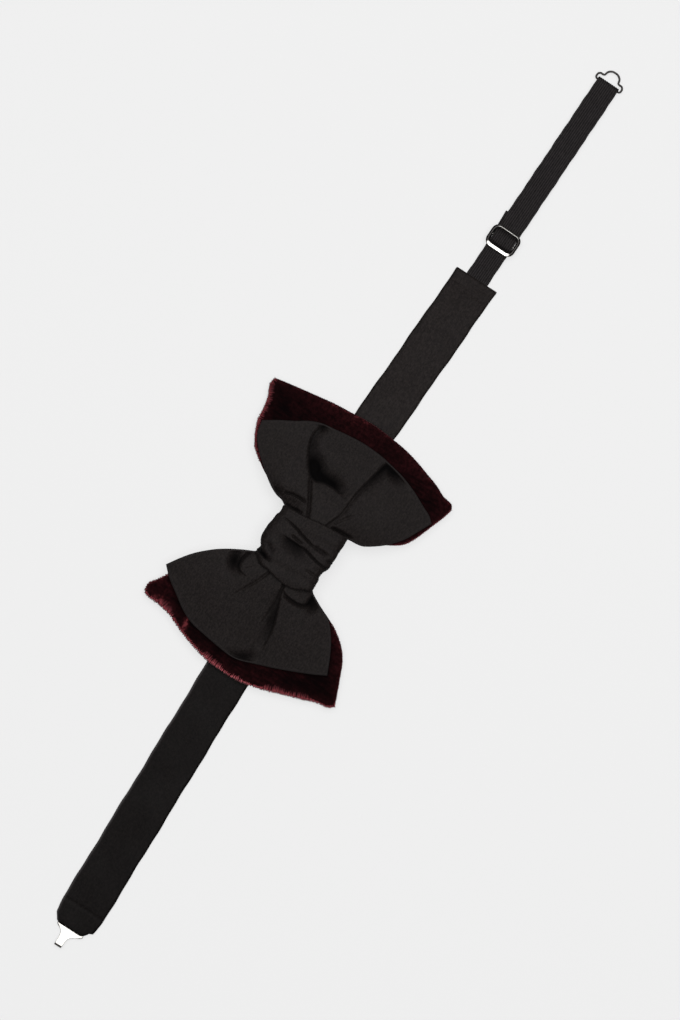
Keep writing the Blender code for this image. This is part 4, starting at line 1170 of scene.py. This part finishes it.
# ---------------------------------------------------------------- metal
def swept(points, section, closed):
    """A section of (sideways, upward) points, or one per path point, carried along a path."""
    p = np.asarray(points, float)
    if closed:
        heading = np.roll(p, -1, 0) - np.roll(p, 1, 0)
    else:
        heading = np.gradient(p, axis=0)
    heading /= np.linalg.norm(heading, axis=1, keepdims=True)
    side = np.cross(heading, np.array((0, 0, 1), float))
    side /= np.linalg.norm(side, axis=1, keepdims=True)
    lift = np.cross(side, heading)
    section = np.broadcast_to(np.asarray(section, float), (len(p), *np.shape(section)[-2:]))
    return p[:, None] + side[:, None] * section[..., :1] + lift[:, None] * section[..., 1:]


SECTION_POINTS = 20


def oval(width, height, power, count=SECTION_POINTS):
    """Points round an ellipse, squarer as power rises above 2."""
    a = np.linspace(0, 2 * math.pi, count, endpoint=False)
    c, s = np.cos(a), np.sin(a)
    return np.stack([width / 2 * np.sign(c) * np.abs(c) ** (2 / power),
                     height / 2 * np.sign(s) * np.abs(s) ** (2 / power)], -1)


def slide(skin):
    """The slide: a rounded frame of half-round bar with a round cross bar under it."""
    length, width, corner = 10.0, 13.3, 2.4
    z = 3.55
    half_l, half_w = length / 2 - 0.7, width / 2 - 0.80
    outline = []
    for sx, sy, first in ((1, 1, 0), (-1, 1, 90), (-1, -1, 180), (1, -1, 270)):
        for k in range(10):
            a = math.radians(first + 10 * k)
            outline.append((sx * (half_l - corner) + corner * math.cos(a),
                            sy * (half_w - corner) + corner * math.sin(a)))
    outline = resampled(np.array(outline + outline[:1]), 0.35)[:-1]
    x, y = on_elastic(BAR_AT + outline[:, 0], outline[:, 1])
    path = np.stack([x, y, np.full(len(x), z)], -1)
    sections, painted_metal_shade = [], []
    for px, py in outline:
        near = float(smooth(3.2, 4.3, -px))
        far = float(smooth(3.6, 4.2, px))
        sections.append(oval(1.6 - 0.3 * far - 0.05 * near, 1.1, 1.35 + 3.4 * near))
        # Rails and far bar painted darker, near bar left bright: painted reflection shade.
        painted_metal_shade.append([1 - 0.90 * near - 0.45 * far] * SECTION_POINTS)
    verts, faces, _ = loft(swept(path, np.array(sections), True), closed_along=True)
    made = mesh_piece("slide_frame", verts, faces, skin, floats={"painted_metal_shade": np.ravel(painted_metal_shade)})
    bar_y = np.linspace(-6.0, 6.0, 24)
    bar = np.stack([*on_elastic(np.full_like(bar_y, BAR_AT), bar_y), np.full_like(bar_y, 2.55)], -1)
    verts, faces, flat = loft(swept(bar, oval(1.0, 1.1, 2.4), False))
    cross = mesh_piece("slide_cross_bar", verts, faces, skin, flat)
    piece_done(made, "nickel", body="slider", nodes=("slide_buckle",))
    piece_done(cross, "nickel", body="slider")


def eye_wire(skin):
    """The eye: a straight bar in the elastic's bend, two shoulders and a scalloped lobe."""
    half, wire = ELASTIC_WIDTH / 2, 0.85
    shoulder = half + 0.3 + 0.8
    upper = [(0.0, 0.0), (0.0, half * 0.9), (0.3, shoulder - 0.4), (1.2, shoulder - 0.1),
             (2.1, shoulder - 0.3), (2.75, shoulder - 1.0), (2.75, shoulder - 1.9),
             (3.1, shoulder - 2.8), (4.3, shoulder - 3.1), (5.3, shoulder - 3.9),
             (5.9, shoulder - 5.2)]
    outline = upper + [(x, -y) for x, y in reversed(upper[1:])]
    line = spline(outline, 200, closed=True)
    x, y = on_elastic(EYE_AT + line[:, 0], line[:, 1])
    path = np.stack([x, y, np.full(len(x), 1.35)], -1)
    verts, faces, _ = loft(swept(path, oval(wire, wire, 2.0, 16), True), closed_along=True)
    # The whole eye painted darker: painted shade for dark reflections.
    made = mesh_piece("eye_wire", verts, faces, skin, floats={"painted_metal_shade": np.full(len(verts), 1.0)})
    piece_done(made, "nickel", body="eye", nodes=("eye",))


TONGUE_SIDE = 0.35


def hook_plate(skin):
    """A stamped plate that narrows to a raised tongue, turned back under at its tip.

    Edges are (x from the tilting bar, height, reach to +y, reach to -y); the reaches are
    measured from TONGUE_SIDE beside the bar's middle.
    """
    bar = pivot("hook_tilt")
    edges = [(0.6, 1.05, 5.6, 6.2), (-0.6, 1.05, 5.9, 6.3), (-1.6, 1.05, 5.8, 6.4),
             (-2.2, 1.06, 4.9, 5.7), (-2.7, 1.10, 3.9, 4.7), (-3.2, 1.20, 3.1, 3.6),
             (-3.8, 1.36, 2.6, 2.6), (-4.6, 1.60, 2.35, 1.75), (-5.6, 1.88, 2.25, 1.35),
             (-6.8, 2.12, 2.2, 1.2), (-7.8, 2.26, 2.2, 1.15), (-8.6, 2.30, 2.2, 1.15)]
    radius = 0.75
    for step in range(1, 9):
        a = math.radians(90 + 20 * step)
        edges.append((-8.6 + radius * math.cos(a), 1.55 + radius * math.sin(a), 2.15, 1.1))
    edges += [(-8.0, 0.80, 2.1, 1.05), (-7.0, 0.80, 2.0, 0.95)]
    line = resampled(np.array(edges), 0.18)
    heading = np.gradient(line[:, :2], axis=0)
    heading /= np.linalg.norm(heading, axis=1, keepdims=True)
    rings = []
    section = oval(1.0, 1.0, 6.0, 36)
    for (x, z, up, down), (hx, hz) in zip(line, heading):
        middle = (up - down) / 2 + TONGUE_SIDE
        y = middle + section[:, 0] * (up + down) + bar[1]
        h = section[:, 1] * 0.5
        rings.append(np.stack([bar[0] + x + h * -hz, y, z + h * hx], -1))
    verts, faces, flat = loft(np.array(rings))
    # The hook painted partly darker: painted shade for dark reflections.
    made = mesh_piece("hook_plate", verts, faces, skin, flat, floats={"painted_metal_shade": np.full(len(verts), 0.45)})
    piece_done(made, "nickel", body="hook", nodes=("hook",))


CAD_METAL = ("hook", "eye", "slide_buckle")
CAD_SLOTS = (("stitch", "black_thread"), ("thread", "black_thread"), ("lining", "interlining"),
             ("pad", "interlining"), ("elastic", "black_elastic"), ("velvet", "burgundy_velvet"))


def finish_cad(skins):
    """Every CAD node's material; the threads are the ones that stay in sight."""
    for name, node in frame["nodes"].items():
        slot = "nickel" if name in CAD_METAL else next(
            (slot for word, slot in CAD_SLOTS if word in name), "black_satin")
        node.data.materials.clear()
        node.data.materials.append(skins[slot])


# ---------------------------------------------------------------- the whole
camera()
studio()
floor()
SKINS = {
    "black_satin": satin("bow_satin", 0.0),
    "burgundy_velvet": velvet("bow_velvet"),
    "black_elastic": elastic_web("elastic_weave"),
    "nickel": nickel("nickel_plate"),
    "black_thread": thread("sewing_thread"),
    "interlining": felt("interlining_felt"),
}
KNOT_SATIN = satin("knot_satin", 90.0)
HAIR = pile_hair("velvet_pile")
finish_cad(SKINS)
wings(SKINS["black_satin"], SKINS["burgundy_velvet"], HAIR)
gathers("satin_gathers", SKINS["black_satin"], "satin_waist", "black_satin", 15, 0.4)
gathers("velvet_gathers", SKINS["burgundy_velvet"], "velvet_waist", "burgundy_velvet", 13, 1.9)
pad(SKINS["interlining"])
knot(KNOT_SATIN)
# Hook side's band painted darker and slider side's lighter: painted light falling across the band.
neckband({"hook": satin("hook_band_satin", 90.0, 0.46),
          "slider": satin("slider_band_satin", 90.0, 1.15)})
elastic(SKINS["black_elastic"])
slide(SKINS["nickel"])
eye_wire(SKINS["nickel"])
hook_plate(SKINS["nickel"])
